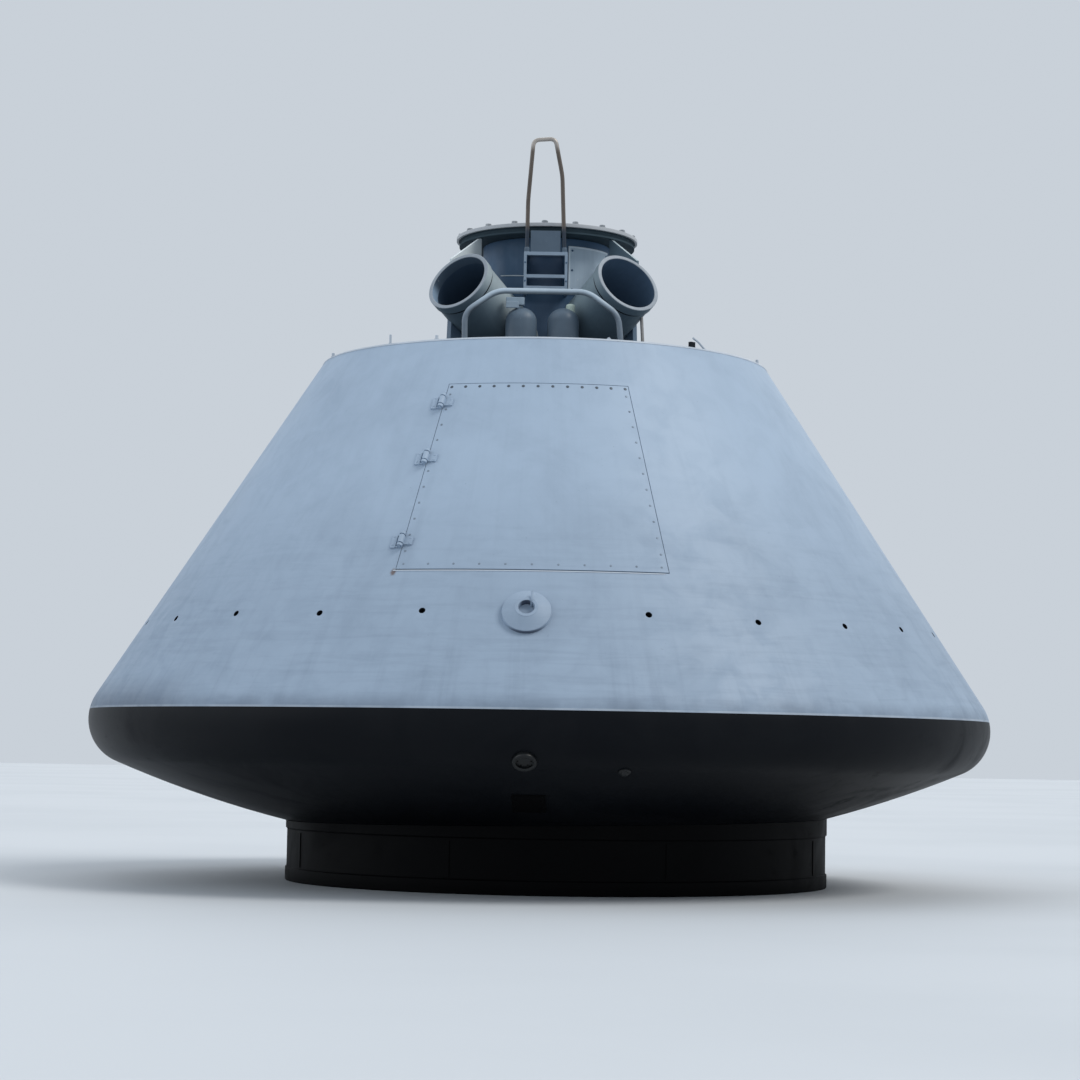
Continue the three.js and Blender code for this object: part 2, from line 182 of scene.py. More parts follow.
class Build:
    """Collects points and faces of one mesh."""

    def __init__(self):
        self.points = []
        self.faces = []

    def add(self, points, faces, placed=None):
        start = len(self.points)
        self.points += points if placed is None else [placed @ Vector(point) for point in points]
        self.faces += [tuple(start + i for i in face) for face in faces]

    def settle(self, name, material, slot, *nodes, body="capsule", edge=0.0, angle=35):
        piece = make(name, self.points, self.faces, material)
        if edge:
            bevel(piece, edge, angle)
        settle(piece, slot, *nodes, body=body)
        return piece


def rounded_corner(before, here, after, near, steps):
    """Points of a curve that cuts a corner off, at the same distance on both sides of it."""
    start = here + (before - here).normalized() * near
    end = here + (after - here).normalized() * near
    shares = [k / steps for k in range(steps + 1)]
    return [start * (1 - t) ** 2 + here * 2 * t * (1 - t) + end * t ** 2 for t in shares]


def softened(profile, radius, steps=3):
    """A closed outline with its corners rounded, apart from those on the axis."""
    corners = [Vector(corner) for corner in profile]
    result = []
    for i, here in enumerate(corners):
        before, after = corners[i - 1], corners[(i + 1) % len(corners)]
        if here.x < 1e-6:
            result.append(here)
            continue
        near = min(radius, (before - here).length * 0.45, (after - here).length * 0.45)
        result += rounded_corner(before, here, after, near, steps)
    return result


def smooth_route(corners, bend, steps=8):
    """Points along straight runs whose corners are rounded."""
    points = [Vector(corner) for corner in corners]
    route = [points[0]]
    for before, here, after in zip(points, points[1:], points[2:]):
        route += rounded_corner(before, here, after, bend, steps)
    return route + [points[-1]]


def ring_faces(rows, sides, closed=False):
    """Faces between rings of points that follow each other, and from the last back to the first."""
    faces = []
    for i in range(rows if closed else rows - 1):
        low, high = i * sides, (i + 1) % rows * sides
        for k in range(sides):
            j = (k + 1) % sides
            faces.append((low + k, low + j, high + j, high + k))
    return faces


def plate_faces(rows, columns, is_open=None):
    """Faces of a plate with two layers of points, the outer one first, closed along its free edges: the outer
    faces by row and column, and all the others. With is_open it runs round and has an opening there."""
    outer, others = {}, []
    cells = columns if is_open else columns - 1

    def at(side, corner):
        return (side * rows + corner[0]) * columns + corner[1] % columns

    def missing(i, j):
        if is_open:
            return not 0 <= i < rows - 1 or is_open(i, j % cells)
        return not (0 <= i < rows - 1 and 0 <= j < cells)

    for i in range(rows - 1):
        for j in range(cells):
            if missing(i, j):
                continue
            a, b, c, d = (i, j), (i, j + 1), (i + 1, j + 1), (i + 1, j)
            outer[i, j] = [at(0, corner) for corner in (a, b, c, d)]
            others.append([at(1, corner) for corner in (a, d, c, b)])
            edges = {(i - 1, j): (b, a), (i, j + 1): (c, b), (i + 1, j): (d, c), (i, j - 1): (a, d)}
            for neighbour, (p, q) in edges.items():
                if missing(*neighbour):
                    others.append([at(0, p), at(0, q), at(1, q), at(1, p)])
    return outer, others


def wall_faces(azimuths, heights, left, right, low, high):
    """The same for a round wall with an opening between two azimuths and two heights."""

    def is_open(i, j):
        azimuth = (azimuths[j] + azimuths[j + 1]) / 2
        height = (heights[i] + heights[i + 1]) / 2
        return left < azimuth < right and low < height < high

    return plate_faces(len(heights), len(azimuths) - 1, is_open)


def sheet_faces(rows, columns):
    """All faces of a plate of two layers."""
    outer, others = plate_faces(rows, columns)
    return [*outer.values(), *others]


def revolve(build, profile, segments=96, placed=None, span=None):
    """A closed outline of (radius, height) turned about Z, all round or between two azimuths."""
    points, faces, rows = [], [], []
    start, end = span or (0, 360)
    columns = segments + 1 if span else segments
    for radius, z in profile:
        if radius < 1e-6:
            rows.append([len(points)] * columns)
            points.append((0, 0, z))
        else:
            rows.append([len(points) + j for j in range(columns)])
            points += [spot(start + (end - start) * j / segments, radius, z) for j in range(columns)]
    for i, low in enumerate(rows):
        high = rows[(i + 1) % len(rows)]
        for j in range(segments):
            k = (j + 1) % columns
            corners = [low[j], low[k], high[k], high[j]]
            corners = [corner for n, corner in enumerate(corners) if corner != corners[n - 1]]
            if len(corners) > 2:
                faces.append(tuple(corners))
    if span:
        faces.append(tuple(row[0] for row in rows))
        faces.append(tuple(row[-1] for row in reversed(rows)))
    build.add(points, faces, placed)


def turned(name, profile, material, segments, placed=None, sharp=32):
    build = Build()
    revolve(build, profile, segments, placed)
    return make(name, build.points, build.faces, material, sharp)


def bar(build, route, radius, sides=20):
    """A round bar along a route, closed at both ends."""
    points = []
    normal = None
    last = len(route) - 1
    for i, place in enumerate(route):
        ahead = (route[min(i + 1, last)] - route[max(i - 1, 0)]).normalized()
        if normal is None:
            normal = ahead.orthogonal().normalized()
        normal = (normal - ahead * normal.dot(ahead)).normalized()
        other = ahead.cross(normal)
        points += [place + normal * x + other * y for x, y, _ in circle(radius, sides)]
    ends = [tuple(reversed(range(sides))), tuple(range(last * sides, (last + 1) * sides))]
    build.add(points, ring_faces(last + 1, sides) + ends)


def bolt(build, placed, across, height, washer):
    """A hexagon head with a chamfered crown, on a washer."""
    plate = 0.0018
    revolve(build, [(0, 0), (washer, 0), (washer, plate), (0, plate)], 20, placed)
    points = circle(across, 6, plate) + circle(across, 6, plate + height * 0.82)
    points += circle(across * 0.86, 6, plate + height)
    build.add(points, ring_faces(3, 6) + [tuple(range(12, 18)), tuple(reversed(range(6)))], placed)


def dome(build, placed, radius, height, sides=14):
    """A rivet or screw head."""
    profile = [(0, -0.002), (radius, -0.002), (radius, height * 0.25), (radius * 0.9, height * 0.62),
               (radius * 0.6, height * 0.92), (0, height)]
    revolve(build, profile, sides, placed)


def box(build, low, high, placed=None):
    (x0, y0, z0), (x1, y1, z1) = low, high
    points = [(x, y, z) for z in (z0, z1) for y in (y0, y1) for x in (x0, x1)]
    faces = [(0, 2, 3, 1), (4, 5, 7, 6), (0, 1, 5, 4), (2, 6, 7, 3), (0, 4, 6, 2), (1, 3, 7, 5)]
    build.add(points, faces, placed)


def cone_patch(build, grid, inset, lift):
    """A thin plate that follows the cone, over rows of (azimuth, height) from the lowest up."""
    points = [off_cone(azimuth, z, rise) for rise in (lift, -inset) for row in grid for azimuth, z in row]
    build.add(points, sheet_faces(len(grid), len(grid[0])))


def cone_strip(build, azimuths, heights, inset, lift):
    cone_patch(build, [[(azimuth, z) for azimuth in azimuths] for z in heights], inset, lift)


# Materials
class Graph:
    """Short names for the nodes of one material."""

    def __init__(self, name):
        material = bpy.data.materials.new(name)
        material.use_nodes = True
        self.tree = material.node_tree
        coordinates = self.node("ShaderNodeTexCoord").outputs
        self.place, facing = coordinates["Object"], coordinates["Normal"]
        self.measures = {"height": (self.place, "Z"), "side": (self.place, "X"), "upward": (facing, "Z"),
                         "rightward": (facing, "X")}

    def node(self, kind, values=(), **settings):
        """A new node with its settings, and the values of its inputs by name or number."""
        node = self.tree.nodes.new(kind)
        for key, value in settings.items():
            setattr(node, key, value)
        self.feed(node, values)
        return node

    def feed(self, node, values):
        for key, value in dict(values).items():
            socket = node.inputs[key]
            if isinstance(value, bpy.types.NodeSocket):
                self.tree.links.new(value, socket)
            elif socket.type == "RGBA":
                socket.default_value = (*value, 1)
            else:
                socket.default_value = value

    def vector(self, operation, *values):
        return self.node("ShaderNodeVectorMath", enumerate(values), operation=operation).outputs[0]

    def length(self, value):
        return self.node("ShaderNodeVectorMath", {0: value}, operation="LENGTH").outputs["Value"]

    def math(self, operation, first, second, clamp=False):
        values = {0: first, 1: second}
        return self.node("ShaderNodeMath", values, operation=operation, use_clamp=clamp).outputs[0]

    def times(self, first, second):
        return self.math("MULTIPLY", first, second)

    def mean(self, first, weight, second):
        return self.math("ADD", self.times(first, weight), self.times(second, 1 - weight))

    def noise(self, scale, detail=3.0, rough=0.55, place=None, warp=0.0):
        values = {"Vector": place or self.place, "Scale": scale, "Detail": detail, "Roughness": rough,
                  "Distortion": warp}
        return self.node("ShaderNodeTexNoise", values).outputs["Fac"]

    def spread(self, value, low, high, to_low=0.0, to_high=1.0):
        values = {"Value": value, "From Min": low, "From Max": high, "To Min": to_low, "To Max": to_high}
        return self.node("ShaderNodeMapRange", values, interpolation_type="SMOOTHSTEP").outputs["Result"]

    def patches(self, low, high, *noise, **options):
        """Noise as patches with soft edges."""
        return self.spread(self.noise(*noise, **options), low, high)

    def mix(self, share, first, second):
        return self.node("ShaderNodeMix", {0: share, 6: first, 7: second}, data_type="RGBA").outputs[2]

    def cover(self, color, other, share, amount):
        """The colour, with some of another one over part of the surface."""
        return self.mix(self.times(share, amount), color, other)

    def measure(self, kind, low, high):
        """0 to 1 over a range of height, of X, or of how far the face looks up or to the right."""
        vector, axis = self.measures[kind]
        value = self.node("ShaderNodeSeparateXYZ", {0: vector}).outputs[axis]
        return self.spread(value, low, high)

    def zoned(self, base, shade, zones):
        """Both colours changed over some ranges. Columns of zones: measure, start, end, factor."""
        for kind, low, high, factor in zones:
            share = self.measure(kind, low, high)
            pairs = [(color, self.vector("MULTIPLY", color, factor)) for color in (base, shade)]
            base, shade = (self.mix(share, color, changed) for color, changed in pairs)
        return base, shade

    def meridian(self, round_scale, height_scale):
        """Coordinates that vary fast round the axis and slowly along the height."""
        flat = self.vector("NORMALIZE", self.vector("MULTIPLY", self.place, (1, 1, 0)))
        round_part = self.vector("MULTIPLY", flat, (round_scale, round_scale, 0))
        return self.vector("ADD", round_part, self.vector("MULTIPLY", self.place, (0, 0, height_scale)))

    def bumps(self, *layers):
        """Bumps on bumps. Columns: height, strength, distance."""
        normal = None
        for height, strength, distance in layers:
            values = {"Strength": strength, "Distance": distance, "Height": height}
            if normal is not None:
                values["Normal"] = normal
            normal = self.node("ShaderNodeBump", values).outputs["Normal"]
        return normal

    def finish(self, color, roughness, normal, metallic=0.0, specular=0.5):
        values = {"Base Color": color, "Roughness": roughness, "Normal": normal, "Metallic": metallic,
                  "Specular IOR Level": specular}
        self.feed(self.tree.nodes["Principled BSDF"], values)


def paint(name, base, shade, chip, rough=(0.44, 0.62), chips=0.66, scale=3, specular=0.35, zones=()):
    """Sprayed paint on sheet metal: blotches, meridian streaks, specks, chips and orange peel."""
    g = Graph(name)
    base, shade = g.zoned(base, shade, zones)
    broad = g.patches(0.32, 0.7, 0.85 * scale, 3, 0.5, warp=0.4)
    cloud = g.patches(0.34, 0.72, 5.5 * scale, 6, 0.62, warp=0.6)
    streak = g.patches(0.44, 0.78, 1.0, 5, 0.6, g.meridian(26, 1.1))
    speck = g.patches(0.64, 0.72, 60, 6, 0.75)
    worn = g.patches(chips, chips + 0.03, 15 * scale, 9, 0.72, warp=0.8)
    color = base
    for share, amount in ((broad, 0.6), (cloud, 0.27), (streak, 0.2), (speck, 0.22)):
        color = g.cover(color, shade, share, amount)
    color = g.cover(color, chip, worn, 0.6)
    roughness = g.spread(g.mean(cloud, 0.6, streak), 0.0, 1.0, *rough)
    normal = g.bumps((g.noise(170, 2, 0.5), 0.12, 0.0006), (g.noise(2.6 * scale, 2, 0.5), 0.35, 0.004),
                     (worn, 0.25, 0.0008))
    g.finish(color, roughness, normal, specular=specular)


CONE_BASE, CONE_SHADE = (0.335, 0.425, 0.535), (0.205, 0.265, 0.345)
CONE_SOIL_AND_SHADE, CONE_LIGHT = (0.085, 0.11, 0.15), (0.55, 0.6, 0.65)
RUST = (0.105, 0.055, 0.03)
RUST_AZIMUTH, RUST_Z = -20.5, WIDE + 0.566  # just off the door's lower left corner


def cone_coat(name, zones=()):
    """The cone's paint: brushed and smudged low down, streaked by rain, soiled and painted darker as shade
    over the dark shield, where the rim turns down, and painted darker as shade low on the left.
    """
    g = Graph(name)
    base, shade = g.zoned(CONE_BASE, CONE_SHADE, zones)
    low = g.measure("height", WIDE + 1.15, WIDE + 0.35)
    foot = g.measure("height", WIDE + 0.42, WIDE + 0.08)
    brush = g.patches(0.44, 0.68, 1.0, 5, 0.62, g.vector("MULTIPLY", g.place, (2.4, 2.4, 34)), 0.5)
    smudge = g.patches(0.42, 0.68, 1.9, 6, 0.6, warp=0.8)
    cloud = g.patches(0.36, 0.7, 7.5, 6, 0.62, warp=0.6)
    rain = g.patches(0.46, 0.76, 1.0, 5, 0.6, g.meridian(30, 0.8))
    dark = g.times(low, 0.46)
    for share, amount in ((g.times(brush, low), 0.15), (smudge, 0.2), (cloud, 0.12)):
        dark = g.math("ADD", dark, g.times(share, amount))
    dark = g.math("ADD", dark, g.times(rain, g.math("ADD", g.times(foot, 0.12), 0.09)), True)
    # A dark band just above the shield, where the rim turns down: partly dirt, partly painted shade.
    dirt_and_shade = g.times(g.measure("height", SHIELD_TOP + 0.072, SHIELD_TOP + 0.004),
                   g.spread(g.noise(4.0, 6, 0.66), 0.32, 0.64, 0.15, 1.0))
    # Painted shade: the cone's lower left side darker, as turned away from the light.
    shade_low_left = g.times(g.measure("side", -1.2, -1.65), g.measure("height", WIDE + 0.2, WIDE + 0.06))
    line = g.times(g.measure("height", SHIELD_TOP + 0.009, SHIELD_TOP + 0.006),
                   g.spread(g.noise(9, 4), 0.3, 0.6, 0.3, 1.0))
    speck = g.patches(0.655, 0.7, 55, 6, 0.75)
    worn = g.patches(0.725, 0.745, 16, 9, 0.72, warp=0.8)
    color = g.mix(dark, base, shade)
    covers = [(CONE_SOIL_AND_SHADE, dirt_and_shade, 0.42), (CONE_SOIL_AND_SHADE, shade_low_left, 0.5), (CONE_LIGHT, line, 0.3),
              (CONE_SOIL_AND_SHADE, speck, 0.25), (CONE_LIGHT, worn, 0.55)]
    for other, share, amount in covers:
        color = g.cover(color, other, share, amount)
    away = g.vector("SUBTRACT", g.place, tuple(spot(RUST_AZIMUTH, cone_radius(RUST_Z), RUST_Z)))
    distance = g.length(g.vector("MULTIPLY", away, (1, 1, 0.55)))
    rust = g.spread(g.math("ADD", distance, g.times(g.noise(70, 5), 0.012)), 0.022, 0.01)
    color = g.cover(color, RUST, rust, 0.8)
    roughness = g.spread(g.mean(cloud, 0.5, dark), 0.0, 1.0, 0.46, 0.66)
    normal = g.bumps((g.noise(170, 2, 0.5), 0.12, 0.0006), (g.noise(2.3, 2, 0.5), 0.45, 0.006),
                     (worn, 0.25, 0.0008))
    g.finish(color, roughness, normal, specular=0.3)


def dark_coat(name, base, dust, rough=(0.42, 0.78), dust_share=0.5, scale=1.0, specular=0.5):
    """Matt black coating, with dust, scuffs and shallow dents."""
    g = Graph(name)
    cloud = g.patches(0.36, 0.74, 2.2 * scale, 6, 0.6, warp=0.7)
    scuff = g.patches(0.56, 0.8, 1.0, 7, 0.7, g.meridian(9, 14))
    speck = g.patches(0.62, 0.72, 90, 5, 0.7)
    color = base
    for share, amount in ((cloud, dust_share), (scuff, dust_share * 0.7), (speck, 0.3)):
        color = g.cover(color, dust, share, amount)
    roughness = g.spread(g.mean(cloud, 0.5, scuff), 0.0, 1.0, *rough)
    normal = g.bumps((g.noise(120, 3, 0.6), 0.2, 0.0008), (g.noise(3.5 * scale, 3, 0.5), 0.3, 0.004))
    g.finish(color, roughness, normal, specular=specular)


def metal(name, base, shade, rough=(0.3, 0.55), brushed=(60, 60, 6), metallic=0.9, zones=()):
    """Bare metal with a drawn grain and tarnish."""
    g = Graph(name)
    base, shade = g.zoned(base, shade, zones)
    grain = g.noise(1.0, 4, 0.6, g.vector("MULTIPLY", g.place, brushed))
    tarnish = g.patches(0.4, 0.72, 9, 7, 0.65, warp=0.5)
    color = g.cover(g.cover(base, shade, tarnish, 0.5), shade, grain, 0.25)
    roughness = g.spread(g.mean(tarnish, 0.6, grain), 0.1, 0.9, *rough)
    normal = g.bumps((grain, 0.15, 0.0006), (g.noise(45, 4), 0.12, 0.0008))
    g.finish(color, roughness, normal, metallic=metallic)


def floor_coat(name):
    """Pale paint with broad, faint clouds."""
    g = Graph(name)
    cloud = g.patches(0.35, 0.7, 0.35, 4, 0.5)
    color = g.cover((0.505, 0.535, 0.565), (0.48, 0.51, 0.54), cloud, 0.5)
    g.finish(color, g.spread(cloud, 0.0, 1.0, 0.7, 0.85), g.bumps((g.noise(60, 3), 0.05, 0.001)))


floor_coat("floor_pale")
cone_coat("cone_paint")
cone_coat("door_paint")
# The boss is painted dark, as shade, on faces that look down.
cone_coat("boss_paint", [("upward", -0.35, -0.78, (0.22, 0.22, 0.26))])
# The cone's top edge and the edge under the door are painted lighter as a highlight.
paint("edge_highlight_paint", (0.45, 0.5, 0.56), (0.34, 0.39, 0.45), (0.6, 0.62, 0.63), chips=0.62, scale=2)
# Painted light and shade: the tunnel wall is lighter and less blue below WIDE + 1.83 than above it.
paint("tower_paint", (0.05, 0.112, 0.2), (0.032, 0.074, 0.134), (0.2, 0.27, 0.36), chips=0.67, scale=2.5,
      zones=[("height", WIDE + 1.84, WIDE + 1.82, (1.75, 1.4, 1.3))])
# The ring is painted near-black and dull, as the shade under the cover's rim.
paint("ring_shade_paint", (0.048, 0.072, 0.088), (0.03, 0.047, 0.06), (0.09, 0.12, 0.15), rough=(0.7, 0.85),
      chips=0.67, scale=2.5, specular=0.04)
paint("stand_paint", (0.125, 0.19, 0.265), (0.078, 0.122, 0.176), (0.18, 0.22, 0.26), chips=0.67, scale=2.5)
# Painted light: the tubes are lighter where they face right and where they face up.
paint("tube_paint", (0.1, 0.146, 0.182), (0.068, 0.1, 0.128), (0.34, 0.39, 0.44),
      zones=[("rightward", 0.05, 0.75, (1.7, 1.55, 1.45)), ("upward", -0.5, 0.2, (2.2, 1.95, 1.75))])
# The braces are lit and shaded copies of one paint: the right one dark as shade, its top edge painted light,
# and the left one pale as sunlight.
paint("brace_shaded_paint", (0.105, 0.16, 0.2), (0.07, 0.108, 0.138), (0.34, 0.39, 0.44),
      zones=[("upward", 0.3, 0.8, (3.4, 2.7, 2.3))])
paint("pale_sunlit_brace_paint", (0.64, 0.7, 0.72), (0.48, 0.53, 0.55), (0.7, 0.73, 0.74))
# Painted shade: the tubes' insides are dark, and lighter in the right tube than in the left.
paint("bore_shade_paint", (0.036, 0.062, 0.1), (0.02, 0.036, 0.06), (0.1, 0.13, 0.17), chips=0.68, specular=0.2,
      zones=[("side", -0.05, 0.05, (2.2, 2.1, 2.0))])
# Painted light: the left tube's mouth is much lighter on faces that look up, as sunlight falling into it.
paint("mouth_sunlit_paint", (0.062, 0.092, 0.13), (0.042, 0.064, 0.092), (0.3, 0.33, 0.36), specular=0.2,
      zones=[("upward", -0.1, 0.3, (4.6, 4.3, 4.0))])
paint("lip_paint", (0.29, 0.33, 0.37), (0.2, 0.23, 0.265), (0.4, 0.42, 0.43), chips=0.64, scale=4)
# The panel is painted pale as sunlight on the tunnel's wall.
paint("panel_sunlit_paint", (0.42, 0.52, 0.61), (0.32, 0.41, 0.5), (0.6, 0.64, 0.68), chips=0.65)
# Painted shade: the bracket is darker above WIDE + 2.028, under the ring.
paint("bracket_paint", (0.26, 0.335, 0.42), (0.17, 0.225, 0.29), (0.38, 0.42, 0.46), chips=0.65, scale=4,
      zones=[("height", WIDE + 2.027, WIDE + 2.029, (0.33, 0.375, 0.41))])
# Painted light and shade: the hoop's top bar lighter, as lit from above, and its undersides darker.
paint("hoop_paint", (0.16, 0.203, 0.25), (0.108, 0.14, 0.176), (0.25, 0.25, 0.25), rough=(0.34, 0.52),
      chips=0.63, scale=4,
      zones=[("height", WIDE + 1.7, WIDE + 1.8, (2.55, 2.45, 2.3)), ("upward", 0.1, -0.7, (0.5, 0.5, 0.5))])
# The fitting's pale paint is partly painted sunlight; the knob is painted pale green-white as a highlight.
paint("fitting_paint", (0.33, 0.42, 0.5), (0.23, 0.3, 0.365), (0.5, 0.53, 0.54), scale=5)
paint("knob_highlight_paint", (0.47, 0.56, 0.5), (0.35, 0.43, 0.38), (0.6, 0.64, 0.6), scale=5)
# The panel's edges are painted lighter as a highlight.
paint("panel_edge_highlight_paint", (0.6, 0.69, 0.76), (0.46, 0.54, 0.61), (0.7, 0.73, 0.75), chips=0.65)
paint("canister_paint", (0.11, 0.155, 0.205), (0.072, 0.106, 0.144), (0.26, 0.29, 0.32), rough=(0.4, 0.58),
      chips=0.65, scale=4)
# The deck is painted dark, partly as the shade between the tubes and the tunnel.
paint("deck_paint", (0.07, 0.092, 0.118), (0.04, 0.054, 0.07), (0.16, 0.18, 0.2), specular=0.2)
paint("inside_paint", (0.23, 0.265, 0.29), (0.15, 0.175, 0.195), (0.3, 0.32, 0.33), rough=(0.5, 0.75),
      chips=0.64, scale=1.5)
paint("flange_paint", (0.42, 0.44, 0.46), (0.3, 0.32, 0.345), (0.38, 0.37, 0.36), chips=0.62)
dark_coat("shield_coat", (0.003, 0.004, 0.006), (0.009, 0.0102, 0.0124), specular=0.09)
dark_coat("plinth_coat", (0.0013, 0.0014, 0.0017), (0.0035, 0.0036, 0.0041), rough=(0.55, 0.85),
          specular=0.06)
dark_coat("black_gloss", (0.004, 0.005, 0.006), (0.012, 0.013, 0.014), rough=(0.3, 0.48), dust_share=0.25,
          scale=6, specular=0.35)
# Near-black for the clip and the block on the deck, and as painted shade in the skin's holes and the grooves
# behind the tubes' collars.
dark_coat("black_and_painted_shade", (0.006, 0.008, 0.011), (0.014, 0.017, 0.02), scale=6, specular=0.1)
dark_coat("rubber", (0.016, 0.017, 0.018), (0.04, 0.04, 0.04), rough=(0.6, 0.85), scale=5, specular=0.2)
# The pane is painted dark blue as the shade in the window's opening.
dark_coat("pane", (0.066, 0.108, 0.175), (0.082, 0.122, 0.19), rough=(0.3, 0.42), dust_share=0.3, scale=8,
          specular=0.15)
# Painted light and shade: the loop's legs darker and bluer below the ring, as in its shade, and the loop
# lighter at the top, as lit.
metal("loop_steel", (0.115, 0.095, 0.08), (0.055, 0.045, 0.04), rough=(0.36, 0.58), metallic=0.4,
      zones=[("height", WIDE + 2.15, WIDE + 2.11, (0.2, 0.38, 0.7)),
             ("height", WIDE + 2.46, WIDE + 2.5, (3.6, 4.0, 4.3))])
metal("steel", (0.36, 0.35, 0.34), (0.17, 0.155, 0.14))
metal("bolt_steel", (0.3, 0.32, 0.34), (0.15, 0.165, 0.18), rough=(0.38, 0.6), brushed=(30, 30, 30),
      metallic=0.6)
metal("rivet_dark", (0.085, 0.105, 0.13), (0.045, 0.058, 0.075), rough=(0.45, 0.7), metallic=0.3)
metal("rivet_dim", (0.2, 0.25, 0.31), (0.12, 0.15, 0.19), rough=(0.45, 0.7), metallic=0.3)


# Plinth
def dish_height(radius):
    """Height of the blunt bottom at a distance from the capsule's axis."""
    return SPHERE_Z - math.sqrt(SHIELD_SPHERE ** 2 - radius ** 2)


def make_plinth():
    """A drum a little off the capsule's axis, with a band at each end and a top that follows the dish."""
    sides, rings, gap = 160, 14, 0.001
    shift = Vector((PLINTH_SHIFT, 0, 0))
    drum = PLINTH_RADIUS - 0.006
    low = dish_height(PLINTH_RADIUS - PLINTH_SHIFT)
    # Columns: radius, height of the drum's side
    levels = [(PLINTH_RADIUS - 0.002, 0.0), (PLINTH_RADIUS, 0.004), (PLINTH_RADIUS, 0.055), (drum, 0.061),
              (drum, low - 0.036), (PLINTH_RADIUS, low - 0.03)]
    points = [spot(360 * k / sides, radius, z) + shift for radius, z in levels for k in range(sides)]
    for ring in range(rings + 1):
        for k in range(sides):
            place = spot(360 * k / sides, PLINTH_RADIUS * (1 - ring / (rings + 1)), 0) + shift
            points.append(place + Vector((0, 0, dish_height(place.length) - gap)))
    rows = len(levels) + rings + 1
    last = (rows - 1) * sides
    faces = [tuple(reversed(range(sides)))] + ring_faces(rows, sides)
    faces += [(last + k, last + (k + 1) % sides, len(points)) for k in range(sides)]
    points.append(shift + Vector((0, 0, dish_height(PLINTH_SHIFT) - gap)))
    build = Build()
    build.add(points, faces)
    for k in range(8):
        placed = Matrix.Translation(shift) @ surface_frame(22.5 + 45 * k, PLINTH_RADIUS - 0.007, 0.15, 0)
        box(build, (-0.02, -0.085, 0), (0.02, 0.06, 0.004), placed)
    build.settle("plinth_body", "plinth_coat", "plinth", "plinth_drum")


# Heat shield, with its port, fitting and cover
PORT = surface_frame(-1.6, 1.889, WIDE - 0.147, math.radians(-49))
PORT_OUTLINE = [(0, -0.012), (0.047, -0.012), (0.047, 0.008), (0.0455, 0.0125), (0.042, 0.015),
                (0.035, 0.015), (0.032, 0.0125), (0.031, 0.008), (0.031, 0.002), (0, 0.002)]
FITTING = surface_frame(10, 1.835, WIDE - 0.181, math.radians(-66))
FITTING_OUTLINE = [(0, -0.012), (0.024, -0.012), (0.024, 0.004), (0.0225, 0.0075), (0.015, 0.009),
                   (0.0145, 0.0135), (0.012, 0.016), (0, 0.017)]
SQUARE_COVER = surface_frame(-1.35, 1.5, WIDE - 0.308, math.radians(-71), 0.007)


def rim_points(depth, start, end, parts):
    """(radius, height) along the rim's rounding, a depth under its surface."""
    radius = RIM_ROUND - depth
    angles = [start + (end - start) * i / parts for i in range(parts + 1)]
    return [(RIM_CENTRE + radius * math.cos(angle), WIDE + radius * math.sin(angle)) for angle in angles]


def rim_angle(z, depth):
    return math.asin((z - WIDE) / (RIM_ROUND - depth))


def dish(depth, top, bottom_parts, rim_parts):
    radius = SHIELD_SPHERE - depth
    angles = [(math.pi / 2 - SPHERE_EDGE) * i / bottom_parts for i in range(bottom_parts)]
    bottom = [(radius * math.sin(angle), SPHERE_Z - radius * math.cos(angle)) for angle in angles]
    return bottom + rim_points(depth, -SPHERE_EDGE, rim_angle(top, depth), rim_parts)


def make_shield():
    top = SHIELD_TOP - 0.0003
    profile = dish(0, top, 22, 22) + list(reversed(dish(WALL, top, 12, 8)))
    settle(turned("shield_body", profile, "shield_coat", 192), "shield", "shield_dish")
    for name, placed, outline, node in (("port_ring", PORT, PORT_OUTLINE, "shield_port"),
                                        ("fitting_body", FITTING, FITTING_OUTLINE, "shield_fitting")):
        settle(turned(name, softened(outline, 0.001, 2), "black_gloss", 48, placed), "shield", node)
    finish_node("shield_cover", "plinth_coat", 0.004)
    screws = Build()
    for place in circle(0.025, 6, 0.002):
        dome(screws, PORT @ Matrix.Translation(place), 0.003, 0.002, 10)
    for x in (-0.054, 0.054):
        for y in (-0.09, -0.03, 0.03, 0.09):
            dome(screws, SQUARE_COVER @ Matrix.Translation((x, y, 0)), 0.005, 0.003, 10)
    screws.settle("shield_screws", "plinth_coat", "shield")


# Cone skin, with the doorway and the row of small holes
HOLE_Z = WIDE + 0.405
HOLE_RADIUS = 0.012
HOLE_SIDES = 16
CELL_HALF = 0.95            # of the skin's cell round a hole, in degrees
CELL_RISE = 0.026
# Columns: azimuth, height over the row. Those at the back follow at equal steps.
HOLES = [(-59.15, 0.0), (-44.09, 0.0067), (-29.42, 0.0), (-15.11, 0.0078), (13.61, 0.0044), (28.64, -0.01),
         (43.55, -0.0067), (57.65, 0.0)] + [(57.65 + 15.21 * j, 0.0) for j in range(1, 16)]


def skin_rows():
    """Columns: outer radius, outer height, inner radius, inner height."""
    outer, inner = (rim_points(depth, rim_angle(SHIELD_TOP, depth), CONE_HALF, 6) for depth in (0, WALL))
    rows = [(*over, *under) for over, under in zip(outer, inner)]
    marks = [TANGENT_Z, HOLE_Z - CELL_RISE, HOLE_Z + CELL_RISE, DOORWAY_LOW, DOORWAY_HIGH, CONE_TOP]
    for z in spaced(marks, 0.12)[1:-1]:
        rows.append((cone_radius(z), z, cone_radius(z) - WALL * CONE_COS, z - WALL * CONE_SIN))
    return rows + [(cone_radius(CONE_TOP), CONE_TOP, cone_radius(CONE_TOP) - LEVEL_WALL, CONE_TOP)]


